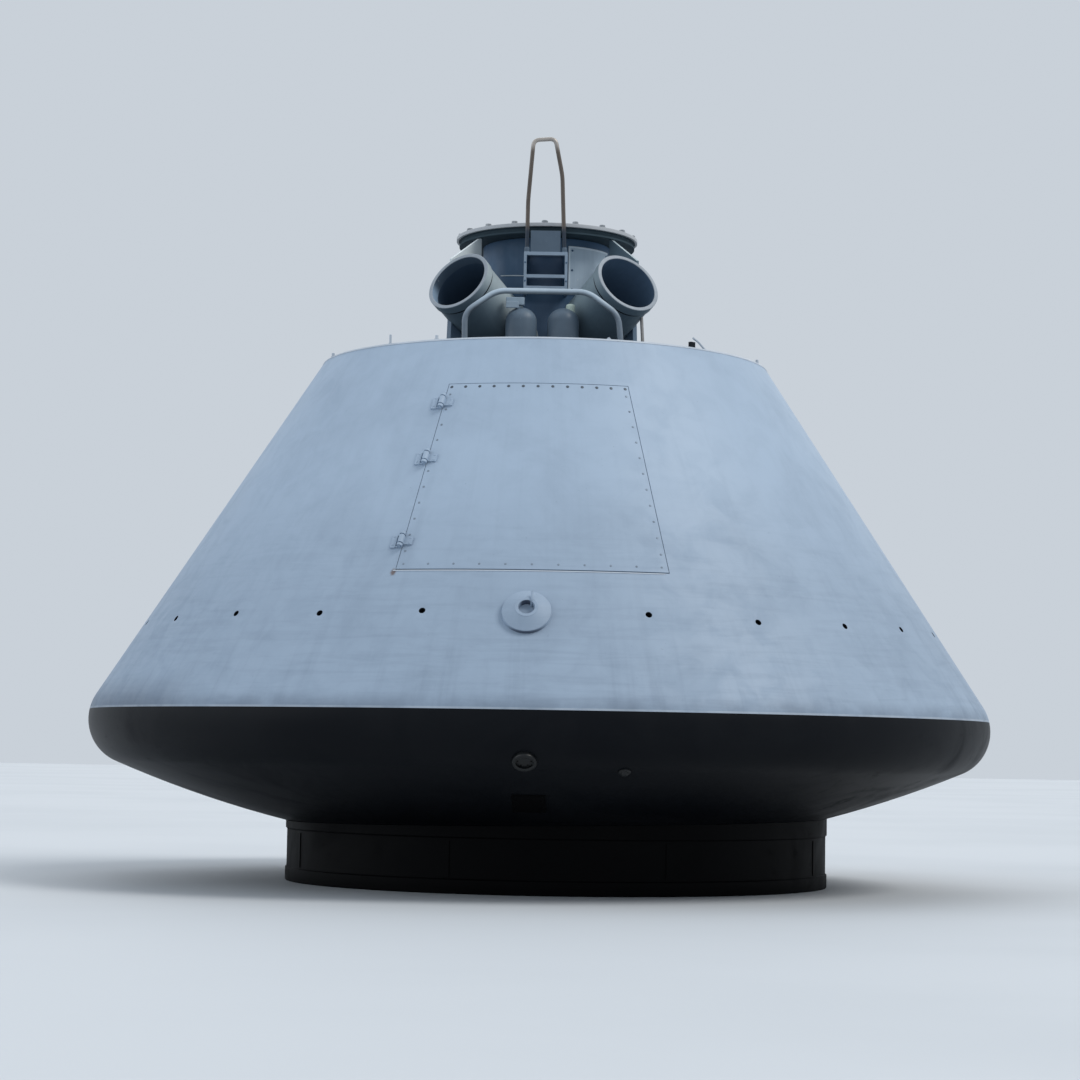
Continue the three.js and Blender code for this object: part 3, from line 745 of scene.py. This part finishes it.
def drill(build, azimuth, lift, corners):
    """A small blind hole in one face of the skin."""
    start = len(build.points)
    turn = -3 * math.pi / 4
    points = circle(HOLE_RADIUS + 0.0012, HOLE_SIDES, 0.0, turn)
    for depth in (-0.0005, -0.022):
        points += circle(HOLE_RADIUS, HOLE_SIDES, depth, turn)
    bottom = tuple(range(2 * HOLE_SIDES, 3 * HOLE_SIDES))
    build.add(points, ring_faces(3, HOLE_SIDES) + [bottom], on_cone(azimuth, HOLE_Z + lift))
    quarter = HOLE_SIDES // 4
    for side in range(4):
        arc = [start + (quarter * side + k) % HOLE_SIDES for k in range(quarter + 1)]
        build.faces.append((corners[side], corners[(side + 1) % 4], *reversed(arc)))


def make_skin():
    left, right = DOOR_MIDDLE - FRAME_HALF, DOOR_MIDDLE + FRAME_HALF
    holes = {left + (azimuth - left) % 360 - CELL_HALF: (azimuth, lift) for azimuth, lift in HOLES}
    marks = {left, right, left + 360, *holes, *(start + 2 * CELL_HALF for start in holes)}
    columns = spaced(sorted(marks), 2.4)
    rows = skin_rows()
    heights = [row[1] for row in rows]
    outer, others = wall_faces(columns, heights, left, right, DOORWAY_LOW, DOORWAY_HIGH)
    hole_row = next(i for i, z in enumerate(heights) if abs(z - HOLE_Z + CELL_RISE) < 1e-6)
    build = Build()
    for radius, z in [row[:2] for row in rows] + [row[2:] for row in rows]:
        build.points += [spot(azimuth, radius, z) for azimuth in columns[:-1]]
    holes_start = len(build.points)
    inner_start = holes_start // 2
    for (i, j), corners in outer.items():
        if i == hole_row and columns[j] in holes:
            drill(build, *holes[columns[j]], corners)
        else:
            build.faces.append(corners)
    build.faces += others
    skin = build.settle("cone_skin", "cone_paint", "shell", "shell_right_front", "shell_right_rear",
                        "shell_left_rear", "shell_left_front", "shell_under_door", "shell_over_door")
    # The holes are painted near-black as the shade inside them.
    coat(skin, "black_and_painted_shade", "inside_paint")
    for face in skin.data.polygons:
        first = min(face.vertices)
        face.material_index = 1 if first >= holes_start else 2 if first >= inner_start else 0


# Pins on the cone's top edge. Columns: radius, height, azimuths
PINS = [(0.0048, 0.04, (-41.8, 104, 171, -104)), (0.0065, 0.019, (-27.5, 71, 138, -71, -138)),
        (0.0055, 0.008, (15.5,))]


def make_top_edge():
    """A strip on the cone's top edge with pins and a bent wire, all painted lighter as a highlight, and a
    clip.
    """
    z, edge, below = CONE_TOP, cone_radius(CONE_TOP), cone_radius(CONE_TOP - 0.007)
    strip = Build()
    outline = [(below + 0.0002, z - 0.007), (below + 0.0014, z - 0.0065), (edge + 0.0016, z + 0.0002),
               (edge + 0.0002, z + 0.0012), (edge - 0.018, z + 0.0012), (edge - 0.018, z + 0.0001),
               (edge - 0.001, z + 0.0001)]
    revolve(strip, outline, 192)
    for radius, height, azimuths in PINS:
        collar = radius + 0.003
        pin = [(0, 0), (collar, 0), (collar, 0.004), (radius, 0.005), (radius, height - 0.002),
               (radius - 0.0015, height), (0, height)]
        for azimuth in azimuths:
            revolve(strip, pin, 16, upright(azimuth, edge - 0.01, z + 0.001))
    wire = [spot(39.4, edge - 0.012, z + 0.042), spot(41.0, edge - 0.011, z + 0.03),
            spot(43.4, edge - 0.01, z + 0.001)]
    bar(strip, smooth_route(wire, 0.01, 4), 0.0045, 12)
    strip.settle("top_edge", "edge_highlight_paint", "shell")
    clip = Build()
    box(clip, (-0.014, -0.007, 0), (0.012, 0.007, 0.024), upright(39.2, edge - 0.014, z + 0.001))
    clip.settle("top_clip", "black_and_painted_shade", "shell")


# Crew door
def make_door():
    """The door's skin, its sides tapered inward so that a narrow seam is enough."""
    azimuths = spaced([-DOOR_HALF, DOOR_HALF], 1.0)
    heights = spaced([DOOR_BOTTOM, DOOR_TOP], 0.05)
    middle, half = (DOOR_TOP + DOOR_BOTTOM) / 2, (DOOR_TOP - DOOR_BOTTOM) / 2
    build = Build()
    for depth, taper in ((0.0, 0.0), (WALL, 0.008)):
        for height in heights:
            z = middle + (height - middle) * (1 - taper * CONE_COS / half)
            turn = 1 - math.degrees(taper / cone_radius(z)) / DOOR_HALF
            build.points += [off_cone(DOOR_MIDDLE + azimuth * turn, z, -depth) for azimuth in azimuths]
    inner_start = len(build.points) // 2
    build.faces = sheet_faces(len(heights), len(azimuths))
    door = build.settle("door_skin", "door_paint", "door", "door_panel", body="door", edge=0.0008, angle=50)
    coat(door, "inside_paint")
    for face in door.data.polygons:
        face.material_index = int(min(face.vertices) >= inner_start)


SEAM = 0.0022               # left open round the door, between its edge and the lips of the doorway
LOW_SEAM = 0.0045           # the same under the door


def make_lips():
    """Lips of the doorway that close its gap to a thin seam, and the edge under the door, painted light as a
    highlight.
    """
    lips, sill = Build(), Build()
    under, over = DOOR_BOTTOM - LOW_SEAM * CONE_COS, DOOR_TOP + SEAM * CONE_COS
    for side in (-1, 1):
        grid = []
        for z in spaced([under, over], 0.05):
            near = DOOR_MIDDLE + side * (DOOR_HALF + math.degrees(SEAM / cone_radius(z)))
            grid.append([(azimuth, z) for azimuth in sorted((near, DOOR_MIDDLE + side * FRAME_HALF))])
        cone_patch(lips, grid, 0.01, 0.0)
    azimuths = spaced([DOOR_MIDDLE - FRAME_HALF, DOOR_MIDDLE + FRAME_HALF], 1.2)
    for heights in ([DOORWAY_LOW, under], [over, DOORWAY_HIGH]):
        cone_strip(lips, azimuths, heights, 0.01, 0.0)
    lips.settle("doorway_lips", "cone_paint", "shell")
    cone_strip(sill, spaced([-20.6, 16.9], 1.2), [under - 0.005, under - 0.0012], 0.0005, 0.0016)
    sill.settle("doorway_sill", "edge_highlight_paint", "shell")


def make_rivets():
    """Rivets along the door's top edge, painted dark as the shade of screw holes, and dimmer ones along its
    other three.
    """
    dark, dim = Build(), Build()
    top = DOOR_TOP - 0.013
    for k in range(13):
        dome(dark, on_cone(-19.5 + 36.3 * k / 12, top), 0.0066, 0.0016)
    for k in range(11):
        azimuth = DOOR_MIDDLE + (DOOR_HALF - 0.9) * (2 * k / 10 - 1)
        dome(dim, on_cone(azimuth, DOOR_BOTTOM + 0.02), 0.0048, 0.0014)
        z = DOOR_BOTTOM + 0.072 + (top - DOOR_BOTTOM - 0.105) * k / 10
        turn = DOOR_HALF - math.degrees(0.017 / cone_radius(z))
        for side in (-1, 1):
            dome(dim, on_cone(DOOR_MIDDLE + side * turn, z), 0.005, 0.0014)
    dark.settle("door_rivets_top", "rivet_dark", "door", body="door")
    dim.settle("door_rivets", "rivet_dim", "door", body="door")


def make_door_inside():
    """Ribs on the door's inner face, with the latch's hub and handle."""
    ribs = Build()
    azimuths = spaced([DOOR_MIDDLE - 15.5, DOOR_MIDDLE + 15.5], 1.5)
    for z in (DOOR_BOTTOM + 0.12, DOOR_BOTTOM + 0.4, DOOR_TOP - 0.12):
        cone_strip(ribs, azimuths, [z - 0.015, z + 0.015], WALL + 0.022, -WALL + 0.001)
    heights = spaced([DOOR_BOTTOM + 0.08, DOOR_TOP - 0.08], 0.08)
    for azimuth in (DOOR_MIDDLE - 9, DOOR_MIDDLE + 9):
        cone_strip(ribs, [azimuth - 0.7, azimuth + 0.7], heights, WALL + 0.018, -WALL + 0.001)
    hub = on_cone(DOOR_MIDDLE + 12.5, DOOR_BOTTOM + 0.4, -WALL - 0.022) @ Matrix.Rotation(math.pi, 4, "X")
    cup = [(0, 0), (0.045, 0), (0.045, 0.012), (0.022, 0.03), (0, 0.03)]
    revolve(ribs, softened(cup, 0.003, 2), 40, hub)
    handle = [hub @ Vector((0, y, z)) for y, z in ((0, 0.026), (0.1, 0.026), (0.13, 0.045), (0.17, 0.045))]
    bar(ribs, smooth_route(handle, 0.02), 0.008)
    ribs.settle("door_ribs", "inside_paint", "door", body="door")


def make_seal():
    """A rubber seal round the doorway, behind the skin's outer face."""
    seal = Build()
    depth = 0.034
    azimuths = spaced([DOOR_MIDDLE - FRAME_HALF + 0.02, DOOR_MIDDLE + FRAME_HALF - 0.02], 1.5)
    for z, inward in ((DOORWAY_LOW, 1), (DOORWAY_HIGH, -1)):
        heights = sorted((z + inward * 0.0002, z + inward * 0.0048))
        cone_strip(seal, azimuths, heights, depth + 0.012, -depth)
    heights = spaced([DOORWAY_LOW + 0.008, DOORWAY_HIGH - 0.008], 0.08)
    for side in (-1, 1):
        edge = DOOR_MIDDLE + side * (FRAME_HALF - 0.01)
        cone_strip(seal, sorted((edge, edge - side * 0.2)), heights, depth + 0.012, -depth)
    seal.settle("doorway_seal", "rubber", "shell")


def make_frames():
    """Frames and stringers inside the cabin, which leave the doorway free."""
    build = Build()
    left, right = DOOR_MIDDLE + FRAME_HALF + 1.0, 360 + DOOR_MIDDLE - FRAME_HALF - 1.0
    for z in (WIDE + 0.3, WIDE + 0.5, WIDE + 0.76, WIDE + 1.02, WIDE + 1.28, WIDE + 1.44):
        outer = cone_radius(z) - LEVEL_WALL - 0.0008
        inner = outer - 0.04
        profile = [(outer, z), (outer - 0.006 * math.tan(CONE_HALF), z + 0.006), (inner + 0.004, z + 0.006),
                   (inner + 0.004, z + 0.026), (inner, z + 0.026), (inner, z)]
        crossed = DOOR_BOTTOM - 0.05 < z < DOOR_TOP + 0.02
        revolve(build, profile, 120, None, (left, right) if crossed else None)
    for k in range(24):
        azimuth = 6.75 + 15 * k
        if left < azimuth < right:
            cone_strip(build, [azimuth - 0.5, azimuth + 0.5], [WIDE + 0.2, WIDE + 1.5], WALL + 0.022,
                       -WALL - 0.0006)
    build.settle("cabin_frames", "inside_paint", "cabin")
    finish_node("cabin_floor", "inside_paint", 0.002)


def make_deck():
    """The deck's plate, with a low lip and a ring of screws."""
    under = DECK_TOP - DECK_PLATE
    gap = LEVEL_WALL + 0.001
    profile = [(TUNNEL_BORE, under), (cone_radius(under) - gap, under),
               (cone_radius(DECK_TOP) - gap, DECK_TOP), (TUNNEL_BORE, DECK_TOP)]
    lip = [(0.862, DECK_TOP), (0.874, DECK_TOP), (0.874, DECK_TOP + 0.008), (0.862, DECK_TOP + 0.008)]
    deck = Build()
    revolve(deck, profile, 160)
    revolve(deck, softened(lip, 0.002, 2), 160)
    for k in range(24):
        dome(deck, upright(7.5 + 15 * k, 0.845, DECK_TOP), 0.009, 0.005, 12)
    deck.settle("deck_body", "deck_paint", "shell", "upper_deck")


# Tunnel, its ring, cover and bolts
WINDOW_LEFT = math.degrees(math.asin(-0.085 / TUNNEL_RADIUS))
WINDOW_RIGHT = math.degrees(math.asin(0.077 / TUNNEL_RADIUS))
WINDOW_LOW = WIDE + 1.884
WINDOW_HIGH = WIDE + 2.044


def make_tunnel():
    columns = spaced([WINDOW_LEFT, WINDOW_RIGHT, 360 + WINDOW_LEFT], 4.0)
    heights = spaced([DECK_TOP + 0.0003, WINDOW_LOW, WINDOW_HIGH, RING_TOP - RING_DEPTH - 0.0003], 0.08)
    outer, others = wall_faces(columns, heights, WINDOW_LEFT, WINDOW_RIGHT, WINDOW_LOW, WINDOW_HIGH)
    wall = Build()
    for radius in (TUNNEL_RADIUS, TUNNEL_BORE):
        for z in heights:
            wall.points += [spot(azimuth, radius, z) for azimuth in columns[:-1]]
    wall.faces = [*outer.values(), *others]
    wall.settle("tunnel_body", "tower_paint", "tower", "tunnel_wall", edge=0.002, angle=50)


def make_ring():
    under, rim = RING_TOP - RING_DEPTH, RING_RADIUS - 0.004
    neck = RING_RADIUS - 0.012
    ring = [(TUNNEL_BORE, under), (0.3, under), (rim, under), (rim, under + 0.008), (neck, under + 0.011),
            (neck, RING_TOP - 0.003), (RING_RADIUS, RING_TOP), (TUNNEL_BORE, RING_TOP)]
    settle(turned("ring_body", softened(ring, 0.001, 2), "ring_shade_paint", 144), "tower", "tunnel_ring")
    base = RING_TOP + 0.0003
    cover = [(0, base), (COVER_RADIUS, base), (COVER_RADIUS, COVER_TOP), (0.352, COVER_TOP),
             (0.346, COVER_TOP - 0.004), (0.3, COVER_TOP - 0.004), (0.294, COVER_TOP), (0, COVER_TOP)]
    settle(turned("cover_body", softened(cover, 0.0022), "flange_paint", 144), "tower", "tunnel_cover")


def make_tower_trim():
    """The window's pane, the cover's bolts, and a rib and a foot on the tunnel's wall."""
    glass = Build()
    near, far = TUNNEL_BORE + 0.004, TUNNEL_BORE + 0.01
    low, high = WINDOW_LOW - 0.01, WINDOW_HIGH + 0.01
    revolve(glass, [(near, low), (far, low), (far, high), (near, high)], 16, None,
            (WINDOW_LEFT - 0.6, WINDOW_RIGHT + 0.6))
    glass.settle("window_pane", "pane", "tower")

    bolts = Build()
    for k in range(18):
        bolt(bolts, upright(20 * k - 1.6, COVER_RADIUS - 0.018, COVER_TOP), 0.0135, 0.01, 0.0155)
    bolts.settle("ring_bolts", "bolt_steel", "tower")

    rib = Build()
    route = [spot(azimuth, TUNNEL_RADIUS + 0.0005, WIDE + 1.952 - 0.0004 * (azimuth + 19.5))
             for azimuth in spaced([-44.6, -19.5], 1.6)]
    bar(rib, route, 0.0022, 10)
    rib.settle("wall_rib", "pale_sunlit_brace_paint", "tower")

    skirt = TUNNEL_RADIUS + 0.0004
    foot = [(skirt, DECK_TOP), (TUNNEL_RADIUS + 0.03, DECK_TOP), (TUNNEL_RADIUS + 0.03, DECK_TOP + 0.006),
            (TUNNEL_RADIUS + 0.006, DECK_TOP + 0.01), (skirt, DECK_TOP + 0.018)]
    settle(turned("tunnel_foot", softened(foot, 0.002, 2), "tower_paint", 96), "tower")


# Slanted tubes
def tube_frame(azimuth):
    axis = spot(azimuth, math.cos(TUBE_TILT), math.sin(TUBE_TILT))
    across = outward(azimuth + 90)
    return basis(across, axis.cross(across), axis, spot(azimuth, TUBE_MOUTH_RADIUS, TUBE_MOUTH_Z))


def tube_end(placed, x, y):
    """How far back a line of the tube runs before it meets the tunnel or the deck."""
    back = 0.0
    while back < 0.6:
        point = placed @ Vector((x, y, -back))
        if math.hypot(point.x, point.y) < TUNNEL_RADIUS - 0.012 or point.z < DECK_TOP - 0.004:
            break
        back += 0.002
    return back


def make_tubes():
    sides = 64
    groove, behind = TUBE_RADIUS - 0.004, -TUBE_COLLAR
    # Columns: radius, share of the length where positive, or distance behind the mouth where negative
    profile = [(TUBE_RADIUS, 1), (TUBE_RADIUS, 0.5), (TUBE_RADIUS, behind - 0.009), (groove, behind - 0.008),
               (groove, behind - 0.001), (TUBE_LIP - 0.001, behind), (TUBE_LIP, behind + 0.001),
               (TUBE_LIP, -0.002), (TUBE_LIP - 0.002, 0), (TUBE_BORE + 0.002, 0), (TUBE_BORE, -0.002),
               (TUBE_BORE, -0.046), (TUBE_BORE, 0.5), (TUBE_BORE, 1)]
    # Material by the face's first row: the groove behind the collar, painted dark as shade, the collar's
    # face, and the inside
    slots = {2: 4, 3: 4, 7: 1, 8: 1, 9: 1, 10: 3, 11: 2, 12: 2}
    for name, azimuth in TUBE_AZIMUTH.items():
        placed = tube_frame(azimuth)
        build = Build()
        for radius, along in profile:
            for x, y, _ in circle(radius, sides):
                back = along * tube_end(placed, x, y) if along > 0 else -along
                build.points.append(placed @ Vector((x, y, -back)))
        build.faces = ring_faces(len(profile), sides, closed=True)
        tube = build.settle(f"tube_body_{name}", "tube_paint", "tower", f"tube_{name}")
        coat(tube, "lip_paint", "bore_shade_paint", "mouth_sunlit_paint" if name == "left" else "bore_shade_paint", "black_and_painted_shade")
        for face in tube.data.polygons:
            rows = {vertex // sides for vertex in face.vertices}
            face.material_index = 2 if rows == {0, len(profile) - 1} else slots.get(min(rows), 0)
        finish_node(f"brace_{name}", "pale_sunlit_brace_paint" if name == "left" else "brace_shaded_paint", 0.0018)
        finish_node(f"stand_{name}", "stand_paint", 0.0018)
        finish_node(f"gusset_{name}", "tower_paint", 0.0018)
    finish_node("stay_rod", "steel", 0.001)


# Guard hoop, canisters, lifting loop and its bracket
FOOT = DECK_TOP + 0.0003
HOOP_Y = -0.65
# Columns: X, height
HOOP_CORNERS = [(-0.339, FOOT), (-0.341, WIDE + 1.724), (-0.209, WIDE + 1.818), (0.175, WIDE + 1.818),
                (0.305, WIDE + 1.722), (0.32, FOOT)]


def make_hoop():
    hoop = Build()
    bar(hoop, smooth_route([(x, HOOP_Y, z) for x, z in HOOP_CORNERS], 0.042), 0.0125, 24)
    plate = [(0, 0), (0.03, 0), (0.03, 0.006), (0.015, 0.008), (0.015, 0.014), (0, 0.014)]
    for x, z in (HOOP_CORNERS[0], HOOP_CORNERS[-1]):
        revolve(hoop, softened(plate, 0.001, 2), 32, Matrix.Translation((x, HOOP_Y, z)))
    hoop.settle("hoop_body", "hoop_paint", "pale", "guard_hoop")


CANISTERS = {"left": -0.105, "right": 0.075}    # X
CANISTER_Y = -0.5
CANISTER_BASE = 0.069                           # radius
CANISTER_SHOULDER = WIDE + 1.712
CANISTER_DOME = 0.06


def make_canisters():
    """Two domed canisters, with a small box on the left one and a knob on the right one."""
    radius = CANISTER_BASE - 0.002
    profile = [(0, FOOT), (CANISTER_BASE, FOOT), (CANISTER_BASE, FOOT + 0.012), (radius, FOOT + 0.015)]
    for k in range(15):
        angle = math.pi / 2 * k / 15
        profile.append((radius * math.cos(angle), CANISTER_SHOULDER + CANISTER_DOME * math.sin(angle)))
    profile.append((0, CANISTER_SHOULDER + CANISTER_DOME))
    for name, x in CANISTERS.items():
        placed = Matrix.Translation((x, CANISTER_Y, 0))
        body = turned(f"canister_body_{name}", profile, "canister_paint", 64, placed)
        settle(body, "canister", f"canister_{name}")
    fitting = Build()
    box(fitting, (-0.17, -0.535, WIDE + 1.779), (-0.092, -0.5, WIDE + 1.812))
    box(fitting, (-0.17, -0.545, WIDE + 1.764), (-0.116, -0.5352, WIDE + 1.792))
    post = Matrix.Translation((-0.118, -0.515, WIDE + 1.742))
    revolve(fitting, [(0, 0), (0.013, 0), (0.013, 0.0365), (0, 0.0365)], 20, post)
    fitting.settle("canister_fitting", "fitting_paint", "canister", edge=0.003)
    knob = [(0, 0), (0.0195, 0), (0.0195, 0.028), (0.0175, 0.033), (0.012, 0.036), (0, 0.037)]
    settle(turned("canister_knob", softened(knob, 0.001, 2), "knob_highlight_paint", 32,
                  Matrix.Translation((0.1045, -0.505, WIDE + 1.753))), "canister")


BRACKET_FRONT, BRACKET_BACK = -0.442, -0.418    # Y
BRACKET_TOP = WIDE + 2.026
LOOP_Y = (BRACKET_FRONT + BRACKET_BACK) / 2
# Columns: X, height
LOOP_CORNERS = [(-0.0856, BRACKET_TOP + 0.0003), (-0.084, WIDE + 2.25), (-0.064, WIDE + 2.515),
                (0.03, WIDE + 2.522), (0.062, WIDE + 2.36), (0.0756, BRACKET_TOP + 0.0003)]


def make_loop():
    loop, collars = Build(), Build()
    bar(loop, smooth_route([(x, LOOP_Y, z) for x, z in LOOP_CORNERS], 0.026), 0.009)
    loop.settle("loop_body", "loop_steel", "bar", "lifting_loop")
    collar = softened([(0, 0), (0.0115, 0), (0.0115, 0.018), (0.0095, 0.021), (0, 0.021)], 0.001, 2)
    for x, z in (LOOP_CORNERS[0], LOOP_CORNERS[-1]):
        revolve(collars, collar, 24, Matrix.Translation((x, LOOP_Y, z)))
    collars.settle("loop_collars", "bracket_paint", "bar")
    finish_node("loop_bracket", "bracket_paint", 0.0012)


PANEL_FACE = TUNNEL_RADIUS + 0.009
PANEL_LOW, PANEL_HIGH = WIDE + 1.882, WIDE + 2.085
PANEL_NEAR, PANEL_FAR = 19.0, 66.0              # azimuths


def make_panel():
    """The panel, painted pale as sunlight on the wall, its edges painted lighter as a highlight, the screws
    of panel and bracket, and a dark block on the deck.
    """
    finish_node("wall_panel", "panel_sunlit_paint", 0.0012)
    edges, screws, block = Build(), Build(), Build()
    inner, outer = PANEL_FACE - 0.001, PANEL_FACE + 0.0015
    # Columns: lower end, upper end, segments, end azimuth
    for low, high, segments, far in ((PANEL_HIGH - 0.008, PANEL_HIGH, 24, PANEL_FAR),
                                     (PANEL_LOW, PANEL_HIGH - 0.0085, 2, PANEL_NEAR + 1.6)):
        section = [(inner, low), (outer, low), (outer, high), (inner, high)]
        revolve(edges, section, segments, None, (PANEL_NEAR, far))
    edges.settle("panel_edges", "panel_edge_highlight_paint", "pale")
    for z in (WIDE + 1.896, WIDE + 1.98, WIDE + 2.066):
        for azimuth in (22.5, 63.5):
            dome(screws, surface_frame(azimuth, PANEL_FACE, z, 0), 0.005, 0.003, 12)
    for x in (-0.092, 0.084):
        for z in (WIDE + 1.9, WIDE + 1.98):
            place = Vector((x, BRACKET_FRONT, z))
            dome(screws, basis(Vector((1, 0, 0)), Vector((0, 0, 1)), outward(0), place), 0.0038, 0.003, 12)
    screws.settle("tower_screws", "tower_paint", "tower")
    box(block, (-0.431, -0.478, DECK_TOP + 0.0005), (-0.385, -0.432, DECK_TOP + 0.032))
    block.settle("foot_block", "black_and_painted_shade", "tower")


# Hinges, and the boss under the door
def make_hinges():
    on_door, on_shell = Build(), Build()
    for number, height in enumerate(HINGE_HEIGHTS, 1):
        finish_node(f"hinge_leaf_{number}", "door_paint", 0.0012)
        finish_node(f"hinge_base_{number}", "cone_paint", 0.0012)
        placed = on_cone(HINGE_AZIMUTH, height, 0.006)
        for side in (-1, 1):
            dome(on_door, placed @ Matrix.Translation((0.034, side * 0.011, 0)), 0.0035, 0.0022, 12)
            dome(on_shell, placed @ Matrix.Translation((-0.035, side * 0.0198, 0)), 0.0035, 0.0022, 12)
    on_door.settle("hinge_screws_door", "door_paint", "door", body="door")
    on_shell.settle("hinge_screws_cone", "cone_paint", "shell")


def make_boss():
    placed = on_cone(-1.8, WIDE + 0.406)
    profile = [(0, -0.01), (0.094, -0.01), (0.094, 0.0125), (0.0925, 0.0155), (0.0865, 0.019),
               (0.052, 0.0366), (0.0485, 0.0384), (0.0445, 0.0402), (0.043, 0.042), (0.033, 0.042),
               (0.0312, 0.0408), (0.0308, 0.039), (0.0308, 0.0145), (0.029, 0.014), (0, 0.014)]
    settle(turned("boss_body", profile, "boss_paint", 72, placed, sharp=28), "shell", "round_port")
    lever = Build()
    route = ((0.018, 0.02, 0.018), (0.019, 0.03, 0.044), (0.021, 0.066, 0.05))
    bar(lever, smooth_route([placed @ Vector(point) for point in route], 0.01, 5), 0.0045, 14)
    lever.settle("boss_lever", "cone_paint", "shell")


# Floor, lights and camera
# Columns: name, azimuth and height it shines from, strength, width of its disc, colour
LIGHTS = [
    ("key", 68, 48, 1.7, 26, (1.0, 0.97, 0.93)),
    ("fill", -80, 26, 0.8, 60, (0.9, 0.95, 1.0)),
    ("back", 178, 40, 0.6, 50, (0.95, 0.97, 1.0)),
]
SKY_COLOR, SKY_STRENGTH = (0.8, 0.87, 0.95, 1), 0.73
FLOOR_HALF = 60
CAMERA_PLACE = Vector((0, -11.641, 0.573))
CAMERA_TARGET = Vector((-0.01, 0, 1.5))
CAMERA_LENS = 88.0
CAMERA_LEAN = -0.016


def make_stage():
    half = FLOOR_HALF
    corners = [(-half, -half, 0), (half, -half, 0), (half, half, 0), (-half, half, 0)]
    make("floor", corners, [(0, 1, 2, 3)], "floor_pale")
    world = bpy.data.worlds.new("studio")
    bpy.context.scene.world = world
    world.use_nodes = True
    background = world.node_tree.nodes["Background"]
    background.inputs["Color"].default_value = SKY_COLOR
    background.inputs["Strength"].default_value = SKY_STRENGTH
    for name, azimuth, rise, strength, width, color in LIGHTS:
        data = bpy.data.lights.new(name, "SUN")
        data.energy = strength
        data.angle = math.radians(width)
        data.color = color
        light = bpy.data.objects.new(name, data)
        toward = spot(azimuth, math.cos(math.radians(rise)), math.sin(math.radians(rise)))
        light.location = toward * 12
        light.rotation_mode = "QUATERNION"
        light.rotation_quaternion = (-toward).to_track_quat("-Z", "Y")
        bpy.context.collection.objects.link(light)


def make_camera():
    """The photograph's viewpoint, turned to face the capsule, with the photograph's lean."""
    data = bpy.data.cameras.new("camera")
    data.lens = CAMERA_LENS
    data.sensor_width = 36.0
    data.clip_end = 300
    camera = bpy.data.objects.new("camera", data)
    bpy.context.collection.objects.link(camera)
    ahead = (CAMERA_TARGET - CAMERA_PLACE).normalized()
    level = ahead.cross(Vector((0, 0, 1))).normalized()
    side = Matrix.Rotation(CAMERA_LEAN, 3, ahead) @ level
    camera.matrix_world = basis(side, side.cross(ahead), -ahead, CAMERA_PLACE)
    bpy.context.scene.camera = camera


STEPS = [make_plinth, make_shield, make_skin, make_top_edge, make_door, make_lips, make_rivets,
         make_door_inside, make_seal, make_frames, make_deck, make_tunnel, make_ring, make_tower_trim,
         make_tubes, make_hoop, make_canisters, make_loop, make_panel, make_hinges, make_boss, make_stage,
         make_camera]
for step in STEPS:
    step()
bpy.context.scene.view_settings.view_transform = "Standard"

bpy.context.view_layer.update()
